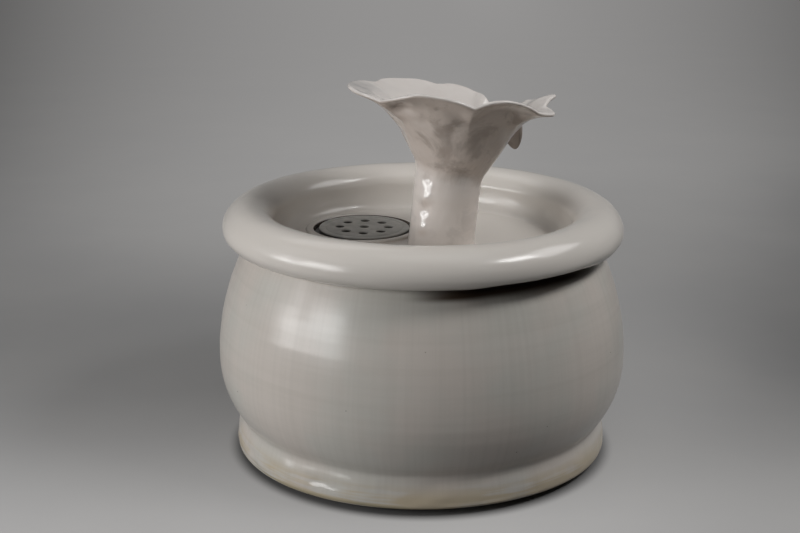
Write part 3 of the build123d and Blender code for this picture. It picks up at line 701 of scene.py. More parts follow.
def flare_curve(share, low, radius, height, steep):
    """A short bend, a straight cone and a lip that curls out."""
    lift, cone = math.radians(steep), math.radians(CONE_STEEP)
    lip_out, lip_up = math.cos(lift), math.sin(lift)
    cone_out, cone_up = math.cos(cone), math.sin(cone)
    end = (radius - EDGE_ROUND * lip_out, height - LILY_WALL * lip_out - EDGE_ROUND * lip_up)
    bent = (STEM_RADIUS + BEND * cone_out, low + BEND * cone_up)
    if share < BEND_SHARE:
        return bezier((STEM_RADIUS, low - BEND), (STEM_RADIUS, low - 0.4 * BEND),
                      (mix(STEM_RADIUS, bent[0], 0.4), mix(low, bent[1], 0.4)), bent, share / BEND_SHARE)
    span = math.hypot(end[0] - bent[0], end[1] - bent[1])
    leave, arrive = 0.45 * span, mix(0.62, 0.36, smooth(steep, -60, 0)) * span
    return bezier(bent, (bent[0] + leave * cone_out, bent[1] + leave * cone_up),
                  (end[0] - arrive * lip_out, end[1] - arrive * lip_up), end,
                  (share - BEND_SHARE) / (1 - BEND_SHARE))


def flare_profile(share, angle, edge):
    """(radius, height) on the flower's outside, from the stem to its edge."""
    low = flare_start(angle)
    own, level = edge
    petal = smooth(share, 0.40, 1.0)
    near, far = flare_curve(share, low, *level), flare_curve(share, low, *own)
    point = (mix(near[0], far[0], petal), mix(near[1], far[1], petal))
    swell = stem_swell(angle, low - BEND) * (1 - smooth(share, 0, 0.3))
    pressed = sum(
        depth * hump(angle, at, wide) * math.exp(-(((share - level_at) / tall) ** 2))
        for at, level_at, wide, tall, depth in DENTS
    )
    uneven = 0.9 * ripple(angle, 2.6, share * 3.8, 23) * share
    uneven += 0.55 * ripple(angle, 6.0, share * 8.6, 24) * share
    uneven += 0.12 * ripple(angle, 15.0, share * 21.0, 25)
    return point[0] + swell - pressed + uneven, point[1] + 0.3 * pressed


def flare_centre(share, z):
    blend = smooth(share, 0, 1)
    return mix(stem_centre(z), FLOWER_X, blend), mix(spout_y, FLOWER_Y, blend)


def wall_at(share):
    """Wall of the flower, thinner along its edge."""
    return LILY_WALL - EDGE_THINNING * smooth(share, 0.75, 1.0)


def inner_folds(angle, share):
    """Small folds inside the left petal, where the clay was pinched."""
    waves = 2.0 * ripple(angle, 8.0, share * 1.5, 31)
    return 0.9 * hump(angle, 209, 13) * smooth(share, 0.5, 0.8) * (1 - smooth(share, 0.93, 1.0)) * waves


def flower_point(share, angle, edge, inward=0.0, outward=0.0):
    """A point of the flower, moved into its wall and out past its edge."""
    step = 0.004
    low = flare_profile(share - step, angle, edge)
    high = flare_profile(share + step, angle, edge)
    radius, z = flare_profile(share, angle, edge)
    length = math.hypot(high[0] - low[0], high[1] - low[1])
    along_r, along_z = (high[0] - low[0]) / length, (high[1] - low[1]) / length
    centre_x, centre_y = flare_centre(share, z)
    radius += -along_z * inward + along_r * outward
    z += along_r * inward + along_z * outward
    return centre_x + radius * math.cos(angle), centre_y + radius * math.sin(angle), z


def make_lily():
    count = 360
    turns = [FULL_TURN * i / count for i in range(count)]
    own = [edge_at(a) for a in turns]
    edges = list(zip(own, smoothed_edges(own)))
    socket = tube_radius + GROMMET_WALL + SPIGOT_WALL + SOCKET_GAP
    bore = tube_radius + BORE_GAP
    socket_top = spigot_top_z + SOCKET_GAP
    under = [(socket, floor_z + 3), (socket + 0.4, floor_z + 0.4), (socket + 1.2, floor_z),
             (STEM_RADIUS - 1.2, floor_z)]
    rings = turned(spout_x, spout_y, under, count)
    stem_steps = 40
    for i in range(stem_steps):
        ring = []
        for angle in turns:
            z = mix(floor_z + 0.4, flare_start(angle) - BEND, i / stem_steps)
            radius = STEM_RADIUS - 0.3 * math.exp(-(z - floor_z) / 0.5) + stem_swell(angle, z)
            ring.append((stem_centre(z) + radius * math.cos(angle), spout_y + radius * math.sin(angle), z))
        rings.append(ring)
    flare_steps = 72
    for i in range(flare_steps + 1):
        share = i / flare_steps
        rings.append([flower_point(share, a, e) for a, e in zip(turns, edges)])
    edge_steps = 8
    for i in range(1, edge_steps):
        turn = math.pi * i / edge_steps
        depth = wall_at(1.0) / 2 * (1 - math.cos(turn))
        beyond = EDGE_ROUND * math.sin(turn)
        rings.append([flower_point(1.0, a, e, depth, beyond) for a, e in zip(turns, edges)])
    inner_end = 0.30
    inner_steps = 52
    for i in range(inner_steps + 1):
        share = mix(1.0, inner_end, i / inner_steps)
        rings.append([flower_point(share, a, e, wall_at(share) + inner_folds(a, share))
                      for a, e in zip(turns, edges)])
    last = rings[-1]
    target = circle(spout_x, spout_y, bore + 1.2, THROAT_Z, count)
    throat_steps = 8
    for step in range(1, throat_steps + 1):
        share = step / throat_steps
        sink = smooth(share, 0, 0.75)
        rings.append([(mix(p[0], t[0], share), mix(p[1], t[1], share), mix(p[2], t[2], sink))
                      for p, t in zip(last, target)])
    inside_stem = [(bore + 0.3, THROAT_Z - 0.4), (bore, THROAT_Z - 1.2), (bore, socket_top + 1),
                   (bore, socket_top), (socket - 0.5, socket_top), (socket, socket_top - 0.5)]
    rings += turned(spout_x, spout_y, inside_stem, count)
    surface = Surface()
    first_ring, last_ring = surface.strip(rings)
    surface.bridge(last_ring, first_ring)
    return surface.piece("lily_glazed", 50)


# ================= strainer and foam =================

HOLE_RADIUS = 3.3
HOLE_CIRCLE = 17.0
HOLE_COUNT = 8
DISC_PLATE_RADIUS = 23.0     # inside the shallow groove
DISC_GROOVE = ((26.4, 0.0), (26.7, 0.08), (27.0, 0.28), (27.4, 0.28), (27.7, 0.08), (28.0, 0.0))


def make_strainer():
    surface = Surface()
    top, low = disc_high_z, disc_low_z
    edge, soft = disc_radius, 0.8
    outline = [(DISC_PLATE_RADIUS, top)] + [(r, top - depth) for r, depth in DISC_GROOVE]
    outline += arc(edge - soft, top - soft, soft, 90, 0, 6)
    outline += arc(edge - 0.4, low + 0.4, 0.4, 0, -90, 3)
    outline += [(DISC_PLATE_RADIUS, low)]
    top_edge, low_edge = surface.strip(turned(disc_x, disc_y, outline, 128))
    places = [(disc_x, disc_y)]
    for i in range(HOLE_COUNT):
        turn = FULL_TURN * i / HOLE_COUNT
        places.append((disc_x + HOLE_CIRCLE * math.cos(turn), disc_y + HOLE_CIRCLE * math.sin(turn)))
    upper, lower = [], []
    for x, y in places:
        wall = arc(HOLE_RADIUS + 0.45, top - 0.45, 0.45, 90, 180, 4) + [(HOLE_RADIUS, low + 0.3)]
        wall += arc(HOLE_RADIUS + 0.3, low + 0.3, 0.3, 180, 270, 2)[1:]
        start, end = surface.strip(turned(x, y, wall, 36))
        upper.append(start)
        lower.append(end)
    surface.fill(top_edge, upper, 2.4)
    surface.fill(low_edge, lower, 4.0)
    return surface.piece("strainer_disc_moulded")


def make_foam():
    surface = Surface()
    low, high, radius = foam_low_z, foam_high_z, foam_radius
    profile = [(radius * share, low + 0.3) for share in (0.25, 0.5, 0.75, 0.93)]
    profile += arc(radius - 1.5, low + 1.8, 1.5, -90, 0, 4)
    profile += [(radius, mix(low + 2.5, high - 2.5, i / 10)) for i in range(11)]
    profile += arc(radius - 1.5, high - 1.8, 1.5, 0, 90, 4)
    profile += [(radius * share, high - 0.3) for share in (0.93, 0.8, 0.65, 0.5, 0.35, 0.2)]
    rings = []
    for ring in turned(foam_x, foam_y, profile, 96):
        uneven = []
        for x, y, z in ring:
            depth = 0.5 + 0.5 * noise.noise(Vector((x * 0.45, y * 0.45, z * 0.45)))
            inward = Vector((foam_x - x, foam_y - y, (low + high) / 2 - z)).normalized() * depth * 0.7
            uneven.append((x + inward.x, y + inward.y, z + inward.z))
        rings.append(uneven)
    first, last = surface.strip(rings)
    surface.pole(first, (foam_x, foam_y, low + 0.5))
    surface.pole(last, (foam_x, foam_y, high - 0.6))
    return surface.piece("foam_pad", 60)


# ================= materials =================

class Look:
    """A procedural material built on one Principled shader."""

    def __init__(self, name):
        self.material = bpy.data.materials.new(name)
        self.material.use_nodes = True
        self.nodes = self.material.node_tree.nodes
        self.links = self.material.node_tree.links
        self.shader = self.nodes["Principled BSDF"]
        self.place = self.nodes.new("ShaderNodeTexCoord").outputs["Object"]

    def feed(self, value, socket):
        """Sets an input to a value, or links it to another node's output."""
        if isinstance(value, bpy.types.NodeSocket):
            self.links.new(value, socket)
        else:
            socket.default_value = value

    def node(self, kind, settings=None, **inputs):
        """A new node with its settings and its inputs."""
        made = self.nodes.new("ShaderNode" + kind)
        for name, value in (settings or {}).items():
            setattr(made, name, value)
        for name, value in inputs.items():
            self.feed(value, made.inputs[name.replace("_", " ")])
        return made

    def set(self, **values):
        for name, value in values.items():
            self.feed(value, self.shader.inputs[name.replace("_", " ")])

    def join(self, output, socket):
        self.links.new(output, self.shader.inputs[socket])

    def stretched(self, scale):
        """The place times a scale along x, y and z, or the same scale along all three."""
        scale = scale if isinstance(scale, tuple) else (scale,) * 3
        return self.node("Mapping", Scale=scale, Vector=self.place).outputs["Vector"]

    def vector(self, operation, first, second=(0, 0, 0)):
        node = self.node("VectorMath", {"operation": operation})
        for socket, value in zip(node.inputs, (first, second)):
            self.feed(value, socket)
        return node.outputs["Vector"]

    def around_axis(self, turns, rise):
        """A place that changes around the vertical axis and with the height, for a turned shape."""
        outward = self.vector("NORMALIZE", self.vector("MULTIPLY", self.place, (1, 1, 0)))
        return self.vector("ADD", self.vector("MULTIPLY", outward, (turns, turns, 0)),
                           self.vector("MULTIPLY", self.place, (0, 0, rise)))

    def noise(self, scale, detail=3.0, rough=0.5, distortion=0.0):
        """Noise with so many waves per metre, one number or three, or at a place that is given."""
        place = self.stretched(scale) if isinstance(scale, (int, tuple)) else scale
        return self.node("TexNoise", Scale=1.0, Detail=detail, Roughness=rough, Distortion=distortion,
                         Vector=place).outputs["Fac"]

    def cells(self, scale, feature="F1"):
        return self.node("TexVoronoi", {"feature": feature}, Scale=1.0, Vector=self.stretched(scale))

    def math(self, operation, first, second=0.0, third=0.0, clamp=False):
        node = self.node("Math", {"operation": operation, "use_clamp": clamp})
        for socket, value in zip(node.inputs, (first, second, third)):
            self.feed(value, socket)
        return node.outputs[0]

    def times(self, first, second):
        return self.math("MULTIPLY", first, second)

    def plus(self, first, second):
        return self.math("ADD", first, second)

    def minus(self, first, second):
        return self.math("SUBTRACT", first, second)

    def length(self, x, y):
        return self.math("SQRT", self.plus(self.math("POWER", x, 2.0), self.math("POWER", y, 2.0)))

    def range(self, value, low, high, to_low=0.0, to_high=1.0):
        return self.node("MapRange", {"interpolation_type": "SMOOTHSTEP"}, Value=value, From_Min=low,
                         From_Max=high, To_Min=to_low, To_Max=to_high).outputs["Result"]

    def blend(self, share, first, second):
        """Mixes two colours, each a tuple or a socket, by a share."""
        node = self.node("Mix", {"data_type": "RGBA"})
        self.feed(share, node.inputs[0])
        for socket, value in ((node.inputs[6], first), (node.inputs[7], second)):
            self.feed((*value, 1.0) if isinstance(value, tuple) else value, socket)
        return node.outputs[2]

    def tint(self, colour, value, low, high, most, other):
        """Blends a colour towards another where a value is high."""
        return self.blend(self.range(value, low, high, 0.0, most), colour, other)

    def bump(self, height, distance, strength=1.0, below=None):
        node = self.node("Bump", Strength=strength, Distance=distance, Height=height)
        if below is not None:
            self.feed(below, node.inputs["Normal"])
        return node.outputs["Normal"]

    def axes(self, of=None):
        return self.node("SeparateXYZ", Vector=of or self.place).outputs

    def height(self, of=None):
        return self.axes(of)["Z"]

    def two_tone(self, value, first, second, low=0.3, high=0.7):
        self.join(self.blend(self.range(value, low, high), first, second), "Base Color")

    def uneven_gloss(self, value, first, second):
        self.join(self.range(value, 0.3, 0.7, first, second), "Roughness")

    def grain(self, scale, depth, strength):
        self.join(self.bump(self.noise(scale, 2.0), depth, strength), "Normal")

    def facing_up(self):
        """From -1 where the surface faces down to 1 where it faces up."""
        return self.height(self.nodes.new("ShaderNodeTexCoord").outputs["Normal"])


def srgb(red, green, blue):
    """A colour written as 0 to 255, in the linear values that Blender uses."""
    def linear(value):
        value /= 255
        return value / 12.92 if value <= 0.04045 else ((value + 0.055) / 1.055) ** 2.4
    return linear(red), linear(green), linear(blue)


GLAZE = srgb(195, 190, 183)
GLAZE_WARM = srgb(199, 189, 181)
GLAZE_COOL = srgb(189, 188, 181)
GLAZE_THICK = srgb(213, 207, 200)
GLAZE_ROSE = srgb(216, 207, 200)
GLAZE_THIN = srgb(186, 172, 147)
GLAZE_OLIVE = srgb(140, 132, 106)
BARE_CLAY = srgb(150, 126, 98)
SPECK = srgb(58, 46, 38)
# painted shade, for the gap under the bowl's rim and for the drain's well
PAINTED_GAP_SHADE = srgb(70, 58, 48)
PETAL_SHADE_COLOUR = srgb(104, 92, 82)    # painted shade on the pouring petal, which curls under

# bands in metres, from where a tone starts to change to where it has changed
THIN_AT_FOOT = (0.010, 0.023)
OLIVE_AT_FOOT = (0.0045, 0.0085)
BARE_AT_FOOT = (0.0026, 0.0034)
GAP_BAND = (0.094, 0.112)           # distance towards the gap at the front right
GAP_ANGLE = math.radians(-58)
PETAL_SHADE_Y_BAND = (0.030, 0.042)
PETAL_SHADE_Z_BAND = (0.206, 0.228)


def glaze_base(name, roughness, brushed):
    """Satin glaze over stoneware: soft tone changes, brush marks, pinholes and iron specks."""
    look = Look(name)
    tone = look.noise(16, 3.0)
    colour = look.blend(look.range(tone, 0.36, 0.64), GLAZE_COOL, GLAZE_WARM)
    colour = look.blend(0.45, colour, GLAZE)
    brush = look.noise(look.around_axis(42, 5), 2.0, 0.5)
    colour = look.tint(colour, brush, 0.35, 0.75, brushed, srgb(166, 161, 153))
    rings = look.noise(look.around_axis(0.8, 210), 3.0, 0.55)
    colour = look.tint(colour, rings, 0.4, 0.75, brushed, srgb(168, 162, 152))
    cells = look.cells(62)
    chosen = look.range(look.math("FRACT", look.times(cells.outputs["Color"], 7.0)), 0.5, 0.54)
    speck = look.times(look.range(cells.outputs["Distance"], 0.018, 0.03, 1.0, 0.0), chosen)
    colour = look.blend(look.times(speck, 0.75), colour, SPECK)
    uneven = look.plus(look.noise(30, 3.0), look.times(brush, brushed))
    satin = look.range(uneven, 0.3, 0.7 + brushed, roughness - 0.03, roughness + 0.03)
    pooled = look.range(look.height(), (foot_z + 6) * MM, (foot_z + 18) * MM, 0.55, 1.0)
    look.join(look.times(satin, pooled), "Roughness")
    peel = look.noise(420, 2.0)
    normal = look.bump(brush, 0.00008 * brushed + 0.000005, 0.6)
    normal = look.bump(rings, 0.0004 * brushed + 0.00001, 0.6, normal)
    normal = look.bump(peel, 0.00004, 0.5, normal)
    look.join(normal, "Normal")
    return look, colour


def gap_share(look):
    """1 at the front right, at the gap between the bowl and the pot, where painted shade darkens the
    colour.
    """
    axes = look.axes()
    along = look.plus(look.times(axes["X"], math.cos(GAP_ANGLE)),
                      look.times(axes["Y"], math.sin(GAP_ANGLE)))
    return look.range(along, *GAP_BAND)


def pot_glaze():
    look, colour = glaze_base("glaze_pot", 0.235, 0.15)
    height = look.height()
    dry = look.times(look.range(height, (lip_z - 34) * MM, (lip_z - 16) * MM), gap_share(look))
    look.join(look.range(dry, 0.0, 1.0, 0.42, 0.04), "Specular IOR Level")
    bands = look.noise((9, 9, 330), 3.0, 0.6, 0.2)
    patches = look.noise((26, 26, 60), 2.0)
    near_foot = look.range(height, *THIN_AT_FOOT, 1.0, 0.0)
    thin = look.times(near_foot, look.range(look.plus(bands, patches), 0.84, 1.08))
    colour = look.blend(look.times(thin, 0.9), colour, GLAZE_THIN)
    low = look.plus(height, look.times(look.minus(patches, 0.5), 0.006))
    edge = look.times(look.range(low, *OLIVE_AT_FOOT, 1.0, 0.0), look.range(bands, 0.42, 0.62))
    colour = look.blend(look.times(edge, 0.7), colour, GLAZE_OLIVE)
    bare = look.range(low, *BARE_AT_FOOT, 1.0, 0.0)
    colour = look.blend(bare, colour, BARE_CLAY)
    # Painted shade on the pot near its lip, in the gap under the bowl's rim at the front right.
    seat = look.range(height, (lip_z - 9.0) * MM, (lip_z - 5.0) * MM)
    colour = look.blend(look.times(seat, gap_share(look)), colour, PAINTED_GAP_SHADE)
    look.join(colour, "Base Color")
    return look.material


def well_shade_share(look):
    """1 inside the drain's well, where painted shade darkens it, a little wider at its back left."""
    axes = look.axes()
    across = look.minus(axes["X"], (well_x + 0.7) * MM)
    along = look.minus(axes["Y"], (well_y - 0.4) * MM)
    well = flange_radius + WELL_GAP
    return look.range(look.length(across, along), (well + 0.9) * MM, (well + 1.5) * MM, 1.0, 0.0)


def bowl_glaze():
    look, colour = glaze_base("glaze_bowl", 0.2, 0.06)
    colour = look.blend(0.85, colour, GLAZE_THICK)
    # Painted shade down inside the drain's well.
    colour = look.blend(well_shade_share(look), colour, PAINTED_GAP_SHADE)
    look.set(Specular_IOR_Level=0.42)
    # Painted shade on the bowl's seat under the rim, at the front right.
    under = look.range(look.height(), (lip_z + 0.8) * MM, (lip_z + 2.2) * MM, 1.0, 0.0)
    colour = look.blend(look.times(under, gap_share(look)), colour, PAINTED_GAP_SHADE)
    look.join(colour, "Base Color")
    return look.material


def lily_glaze():
    look, colour = glaze_base("glaze_lily", 0.08, 0.05)
    colour = look.blend(0.8, colour, GLAZE_ROSE)
    pooled = look.noise(38, 4.0, 0.6, 0.3)
    colour = look.tint(colour, pooled, 0.45, 0.72, 0.45, srgb(186, 172, 162))
    streak = look.noise((60, 60, 14), 3.0)
    colour = look.tint(colour, streak, 0.5, 0.75, 0.35, srgb(186, 178, 170))
    # Painted shade where the flower faces down, mottled there with random darker blotches, and painted
    # light where it faces up; the two are blended by which way the surface faces.
    under = look.blend(0.5, colour, srgb(180, 164, 153))
    blotches = look.range(look.noise(36, 5.0, 0.6, 0.5), 0.5, 0.62, 0.0, 0.5)
    under = look.blend(blotches, under, srgb(132, 118, 108))
    upper = look.blend(0.6, colour, srgb(232, 227, 223))
    colour = look.blend(look.range(look.facing_up(), -0.75, 0.55), under, upper)
    axes = look.axes()
    # Painted shade on the pouring petal, where it curls under.
    petal_shade = look.times(look.range(axes["Y"], *PETAL_SHADE_Y_BAND),
                     look.range(axes["Z"], *PETAL_SHADE_Z_BAND, 0.75, 0.0))
    colour = look.blend(petal_shade, colour, PETAL_SHADE_COLOUR)
    look.join(colour, "Base Color")
    return look.material


def moulded(name, colour, roughness, grain=900, depth=0.00003, variation=0.25):
    """Moulded plastic or rubber with a fine texture and slightly worn, lighter places."""
    look = Look(name)
    wear = look.noise(70, 4.0, 0.6)
    light = tuple(min(1.0, c * (1 + variation) + 0.012) for c in colour)
    dark = tuple(c * (1 - variation) for c in colour)
    look.two_tone(wear, dark, light)
    look.uneven_gloss(wear, roughness + 0.06, roughness - 0.06)
    look.grain(grain, depth, 0.7)
    return look.material


def disc_grey():
    look = Look("strainer_grey")
    wear = look.noise(90, 4.0, 0.65, 0.4)
    colour = look.blend(look.range(wear, 0.3, 0.72), srgb(152, 150, 145), srgb(174, 172, 166))
    scale = look.noise(320, 3.0, 0.6)
    colour = look.tint(colour, scale, 0.62, 0.8, 0.4, srgb(184, 182, 175))
    # Painted shade down inside the holes, below the disc's top.
    depth = look.range(look.height(), (disc_high_z - 1.3) * MM, (disc_high_z - 0.35) * MM, 1.0, 0.0)
    colour = look.blend(look.times(depth, 0.9), colour, srgb(44, 42, 38))
    look.join(colour, "Base Color")
    look.uneven_gloss(wear, 0.42, 0.29)
    look.grain(1500, 0.00003, 0.6)
    return look.material


def foam_dark():
    look = Look("foam_dark")
    pores = look.cells(620, "SMOOTH_F1").outputs["Distance"]
    # The pad's own dark grey, with painted shade along the sunken edges of its cells.
    look.two_tone(pores, srgb(62, 63, 66), srgb(16, 16, 18), 0.15, 0.6)
    look.join(look.bump(pores, -0.0006, 1.0), "Normal")
    look.set(Roughness=0.95, Sheen_Weight=0.3)
    return look.material


def clear_vinyl():
    look = Look("vinyl_clear")
    haze = look.noise((40, 40, 90), 3.0)
    look.two_tone(haze, srgb(214, 222, 218), srgb(232, 236, 230))
    look.uneven_gloss(haze, 0.08, 0.2)
    look.grain((300, 300, 30), 0.00003, 0.5)
    look.set(Transmission_Weight=0.8, IOR=1.45)
    return look.material


def laminated_steel():
    look = Look("core_steel")
    sheets = look.noise((4, 2400, 4), 1.0)
    look.two_tone(sheets, srgb(96, 98, 102), srgb(170, 172, 176), 0.35, 0.65)
    look.join(look.bump(sheets, 0.0001, 0.8), "Normal")
    look.uneven_gloss(look.noise(200), 0.32, 0.5)
    look.set(Metallic=1.0)
    return look.material


def copper_wire():
    look = Look("winding_copper")
    turns = look.node("TexWave", {"bands_direction": "X"}, Scale=1.0, Distortion=0.6,
                      Vector=look.stretched((900, 60, 60)))
    wire = turns.outputs["Fac"]
    # Painted shade between the wire's turns and a painted sheen on their crowns, on the same waves as the
    # bump.
    look.join(look.blend(wire, srgb(120, 56, 24), srgb(206, 122, 66)), "Base Color")
    look.join(look.bump(wire, 0.0002, 1.0), "Normal")
    look.join(look.range(wire, 0.0, 1.0, 0.45, 0.25), "Roughness")
    look.set(Metallic=0.9)
    return look.material


def paint(piece, material):
    piece.data.materials.clear()
    piece.data.materials.append(material)


# ================= the object =================

def add_piece(piece, body, node, material):
    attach(piece, body)
    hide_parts(node)
    paint(piece, material)
    return piece


add_piece(make_pot(), "pot", "reservoir_pot", pot_glaze())
add_piece(make_bowl(), "bowl", "catch_bowl", bowl_glaze())
add_piece(make_lily(), "lily", "lily_spout", lily_glaze())
add_piece(make_strainer(), "strainer", "strainer_disc", disc_grey())
foam = add_piece(make_foam(), "foam", "filter_foam", foam_dark())

# Slot, colour, roughness, and where they differ: grain per metre, its depth, variation of the colour.
MOULDED = (
    ("cup_grey", srgb(60, 60, 58), 0.45),
    ("rubber_dark", srgb(34, 33, 33), 0.62, 700, 0.00005),
    ("pump_black", srgb(30, 30, 32), 0.42, 1200, 0.00005),
    ("knob_grey", srgb(128, 130, 134), 0.4),
    ("bobbin_white", srgb(214, 212, 204), 0.4, 600, 0.00002, 0.06),
    ("magnet_dark", srgb(58, 58, 62), 0.35, 500, 0.00004),
    ("impeller_white", srgb(222, 222, 218), 0.3, 700, 0.00002, 0.05),
    ("shaft_ceramic", srgb(232, 228, 218), 0.18, 1500, 0.00001, 0.04),
)
finishes = {values[0]: moulded(*values) for values in MOULDED}
finishes.update(vinyl_clear=clear_vinyl(), core_steel=laminated_steel(), winding_copper=copper_wire())
for entry in frame["record"]["subparts"]:
    finish = finishes.get(entry["material_slot"])
    if finish is not None:
        paint(frame["nodes"][entry["node"]], finish)

# ================= stage, lights and camera =================

STAGE_RADIUS = 32.0
TONE_START, TONE_END = -0.35, 3.15     # the stage's tone changes between these places along Y
STAGE_FAR_TONE = 0.2         # far to the left and right
RIGHT_OFFSET = 0.1           # a ramp's colours cannot be negative
VIEW_WIDENING = 0.27         # half-width of the photograph's view, per metre behind Y = -1
LEAST_WIDTH = 0.15
SIDES_LIMIT = 1.4
RING_START, RING_GROWTH, RING_COUNT = 0.12, 1.16, 37   # the floor's rings, wider outwards
RIGHT_RISE = (0.02, 0.16)    # along X, where the tone on the right comes in and fades
RIGHT_FALL = (0.16, 0.42)
DIM_TONE = 0.06              # taken off at the far right
DIM_BAND = (0.45, 1.1)       # across the view, in half-widths
DIM_FADE = (0.55, 1.1)       # along Y
FAR_BAND = (1.2, 3.0)        # beyond the photograph's view, in half-widths

# The stage's glow is painted light: brighter in front, a painted shadow zone beside the object, and dimmer
# at the far right.
# Place along Y, the light seen there directly, what is taken off towards the sides, and what is added
# on the right.  They follow the photograph: bright in front, a dark zone beside the object.
STAGE_TONES = (
    (-0.35, 0.29, 0.00, -0.03),
    (-0.14, 0.30, 0.00, -0.03),
    (0.00, 0.11, 0.00, 0.06),
    (0.18, 0.06, 0.00, 0.09),
    (0.34, 0.12, 0.02, 0.03),
    (0.55, 0.24, 0.10, -0.06),
    (0.90, 0.26, 0.12, -0.02),
    (3.15, 0.28, 0.15, 0.02),
)


def seen_directly(tree):
    """1 for what the camera sees, straight or in gloss and glass, and 0 for light on the object."""
    rays = tree.nodes.new("ShaderNodeLightPath").outputs
    share = rays["Is Camera Ray"]
    for other in ("Is Glossy Ray", "Is Transmission Ray"):
        node = tree.nodes.new("ShaderNodeMath")
        node.operation = "MAXIMUM"
        tree.links.new(share, node.inputs[0])
        tree.links.new(rays[other], node.inputs[1])
        share = node.outputs[0]
    return share


def make_stage():
    """A wide floor, lit as the object is, that glows with painted light where it is seen directly: a
    painted pool of light in front and a painted shadow zone beside the object.
    """
    radii = [RING_START * RING_GROWTH ** i for i in range(RING_COUNT)] + [STAGE_RADIUS]
    surface = Surface()
    first, last = surface.strip(turned(0, 0, [(r / MM, 0.0) for r in radii], 96))
    surface.pole(first, (0, 0, 0))
    stage = surface.piece("stage")
    look = Look("stage_grey")
    cloth = look.noise(5, 4.0)
    look.two_tone(cloth, (0.14, 0.14, 0.14), (0.165, 0.163, 0.16))
    look.grain(900, 0.0001, 0.4)
    look.uneven_gloss(cloth, 0.85, 0.95)
    look.set(Specular_IOR_Level=0.2, Emission_Color=(1.0, 0.98, 0.968, 1.0))
    axes = look.axes()
    x, y = axes["X"], axes["Y"]
    along = look.math("DIVIDE", look.minus(y, TONE_START), TONE_END - TONE_START, clamp=True)
    ramp = look.node("ValToRGB", Fac=along)
    ramp.color_ramp.interpolation = "B_SPLINE"
    stops = ramp.color_ramp.elements
    for index, (at, added, sides, right) in enumerate(STAGE_TONES):
        share = (at - TONE_START) / (TONE_END - TONE_START)
        stop = stops[0] if index == 0 else stops[-1] if index == len(STAGE_TONES) - 1 else stops.new(share)
        stop.position = share
        stop.color = (added, sides, right + RIGHT_OFFSET, 1.0)
    tones = look.node("SeparateColor", Color=ramp.outputs["Color"])
    width = look.math("MULTIPLY_ADD", y, VIEW_WIDENING, VIEW_WIDENING)
    aside = look.math("POWER", look.math("ABSOLUTE", look.math("DIVIDE", x, width)), 2.0)
    aside = look.math("MINIMUM", aside, SIDES_LIMIT)
    tone = look.minus(tones.outputs["Red"], look.times(tones.outputs["Green"], aside))
    right = look.minus(tones.outputs["Blue"], RIGHT_OFFSET)
    right = look.times(right, look.range(x, *RIGHT_RISE))
    right = look.times(right, look.range(x, *RIGHT_FALL, 1.0, 0.0))
    across = look.math("DIVIDE", x, look.math("MAXIMUM", width, LEAST_WIDTH))
    dim = look.range(across, *DIM_BAND, 0.0, DIM_TONE)
    dim = look.times(dim, look.range(y, *DIM_FADE, 1.0, 0.0))
    right = look.minus(right, dim)
    far = look.range(look.math("ABSOLUTE", across), *FAR_BAND)
    tone = look.plus(look.times(tone, look.minus(1.0, far)), look.times(far, STAGE_FAR_TONE))
    seen = seen_directly(look.material.node_tree)
    away = look.length(x, y)
    seen = look.times(seen, look.range(away, (BEAD_RADIUS - 4) * MM, (BEAD_RADIUS + 8) * MM))
    look.join(look.times(look.math("MAXIMUM", look.plus(tone, right), 0.0), seen), "Emission Strength")
    paint(stage, look.material)


def softbox(name, azimuth, elevation, distance, width, height, level):
    """An area lamp that looks at the object.  Azimuth 0 is the front and +90 the right.  Level 1
    lights a surface that faces it so that its colour renders as written."""
    lamp = bpy.data.lights.new(name, "AREA")
    lamp.shape = "RECTANGLE"
    lamp.size, lamp.size_y = width, height
    lamp.energy = level * math.pi ** 2 * distance ** 2
    holder = bpy.data.objects.new(name, lamp)
    turn, rise = math.radians(azimuth), math.radians(elevation)
    away = Vector((math.sin(turn) * math.cos(rise), -math.cos(turn) * math.cos(rise), math.sin(rise)))
    holder.location = LOOK_AT + away * distance
    holder.rotation_euler = (-away).to_track_quat("-Z", "Y").to_euler()
    holder.visible_camera = False
    bpy.context.scene.collection.objects.link(holder)


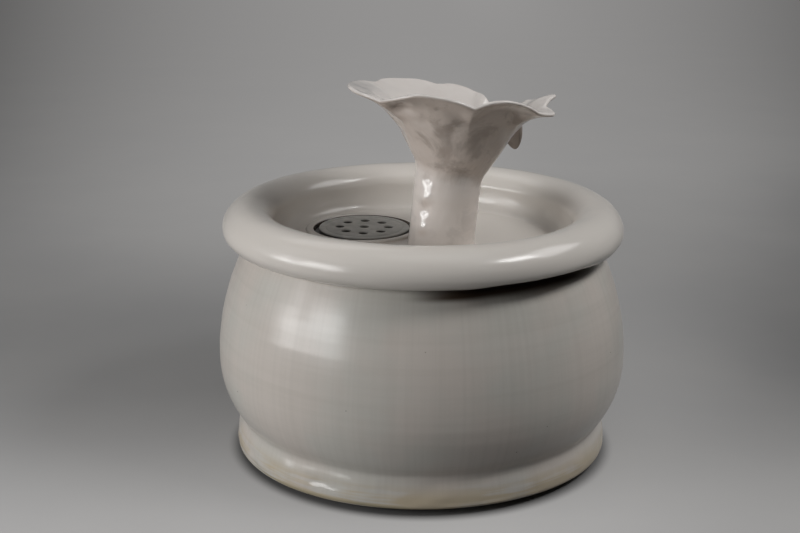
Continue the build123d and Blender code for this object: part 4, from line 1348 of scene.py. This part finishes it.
LOOK_AT = Vector((0, 0, 0.13))
SOFTBOXES = (
    ("key_left", -54, 15.5, 1.2, 0.44, 0.22, 0.18),
    ("low_left", -64, 7, 1.6, 1.3, 0.3, 0.31),
    ("fill_left", -80, 12, 1.2, 1.0, 0.4, 0.05),
    ("strip_left", -76, 11, 1.2, 0.12, 0.5, 0.06),
    ("left_high", -66, 34, 1.3, 1.2, 0.8, 0.11),
    ("back_left", -145, 55, 1.4, 0.7, 0.5, 0.06),
    ("right_high", 66, 48, 1.3, 0.40, 0.24, 0.32),
    ("right_side", 95, 44, 1.4, 0.70, 0.50, 0.24),
    ("top", 20, 78, 1.3, 0.8, 0.8, 0.08),
)
WORLD_LEVEL = 0.02
HORIZON_TONE = 0.16          # seen beyond the stage's edge

for values in SOFTBOXES:
    softbox(*values)

world = bpy.data.worlds.new("studio")
world.use_nodes = True
background = world.node_tree.nodes["Background"]
background.inputs["Color"].default_value = (0.95, 0.97, 1.0, 1.0)
strength = world.node_tree.nodes.new("ShaderNodeMapRange")
strength.inputs["To Min"].default_value = WORLD_LEVEL
strength.inputs["To Max"].default_value = HORIZON_TONE
world.node_tree.links.new(seen_directly(world.node_tree), strength.inputs["Value"])
world.node_tree.links.new(strength.outputs["Result"], background.inputs["Strength"])
bpy.context.scene.world = world

make_stage()

# camera, measured on the photograph's outline of the pot and its rim
CAMERA_PLACE = Vector((0.0, -0.95924, 0.40598))
CAMERA_YAW = -0.0158
CAMERA_PITCH = 0.2847        # below level
CAMERA_ROLL = -0.0070
LENS_MM = 65.93
SENSOR_MM = 36.0


def make_camera():
    data = bpy.data.cameras.new("camera")
    data.lens = LENS_MM
    data.sensor_width = SENSOR_MM
    data.clip_start = 0.05
    data.clip_end = 50.0
    camera = bpy.data.objects.new("camera", data)
    forward = Vector((
        math.cos(CAMERA_PITCH) * math.sin(CAMERA_YAW),
        math.cos(CAMERA_PITCH) * math.cos(CAMERA_YAW),
        -math.sin(CAMERA_PITCH),
    ))
    level_right = Vector((math.cos(CAMERA_YAW), -math.sin(CAMERA_YAW), 0))
    level_up = level_right.cross(forward)
    right = math.cos(CAMERA_ROLL) * level_right - math.sin(CAMERA_ROLL) * level_up
    up = math.sin(CAMERA_ROLL) * level_right + math.cos(CAMERA_ROLL) * level_up
    camera.matrix_world = Matrix((
        (right.x, up.x, -forward.x, CAMERA_PLACE.x),
        (right.y, up.y, -forward.y, CAMERA_PLACE.y),
        (right.z, up.z, -forward.z, CAMERA_PLACE.z),
        (0, 0, 0, 1),
    ))
    bpy.context.scene.collection.objects.link(camera)
    bpy.context.scene.camera = camera


make_camera()
bpy.context.scene.view_settings.view_transform = "Standard"
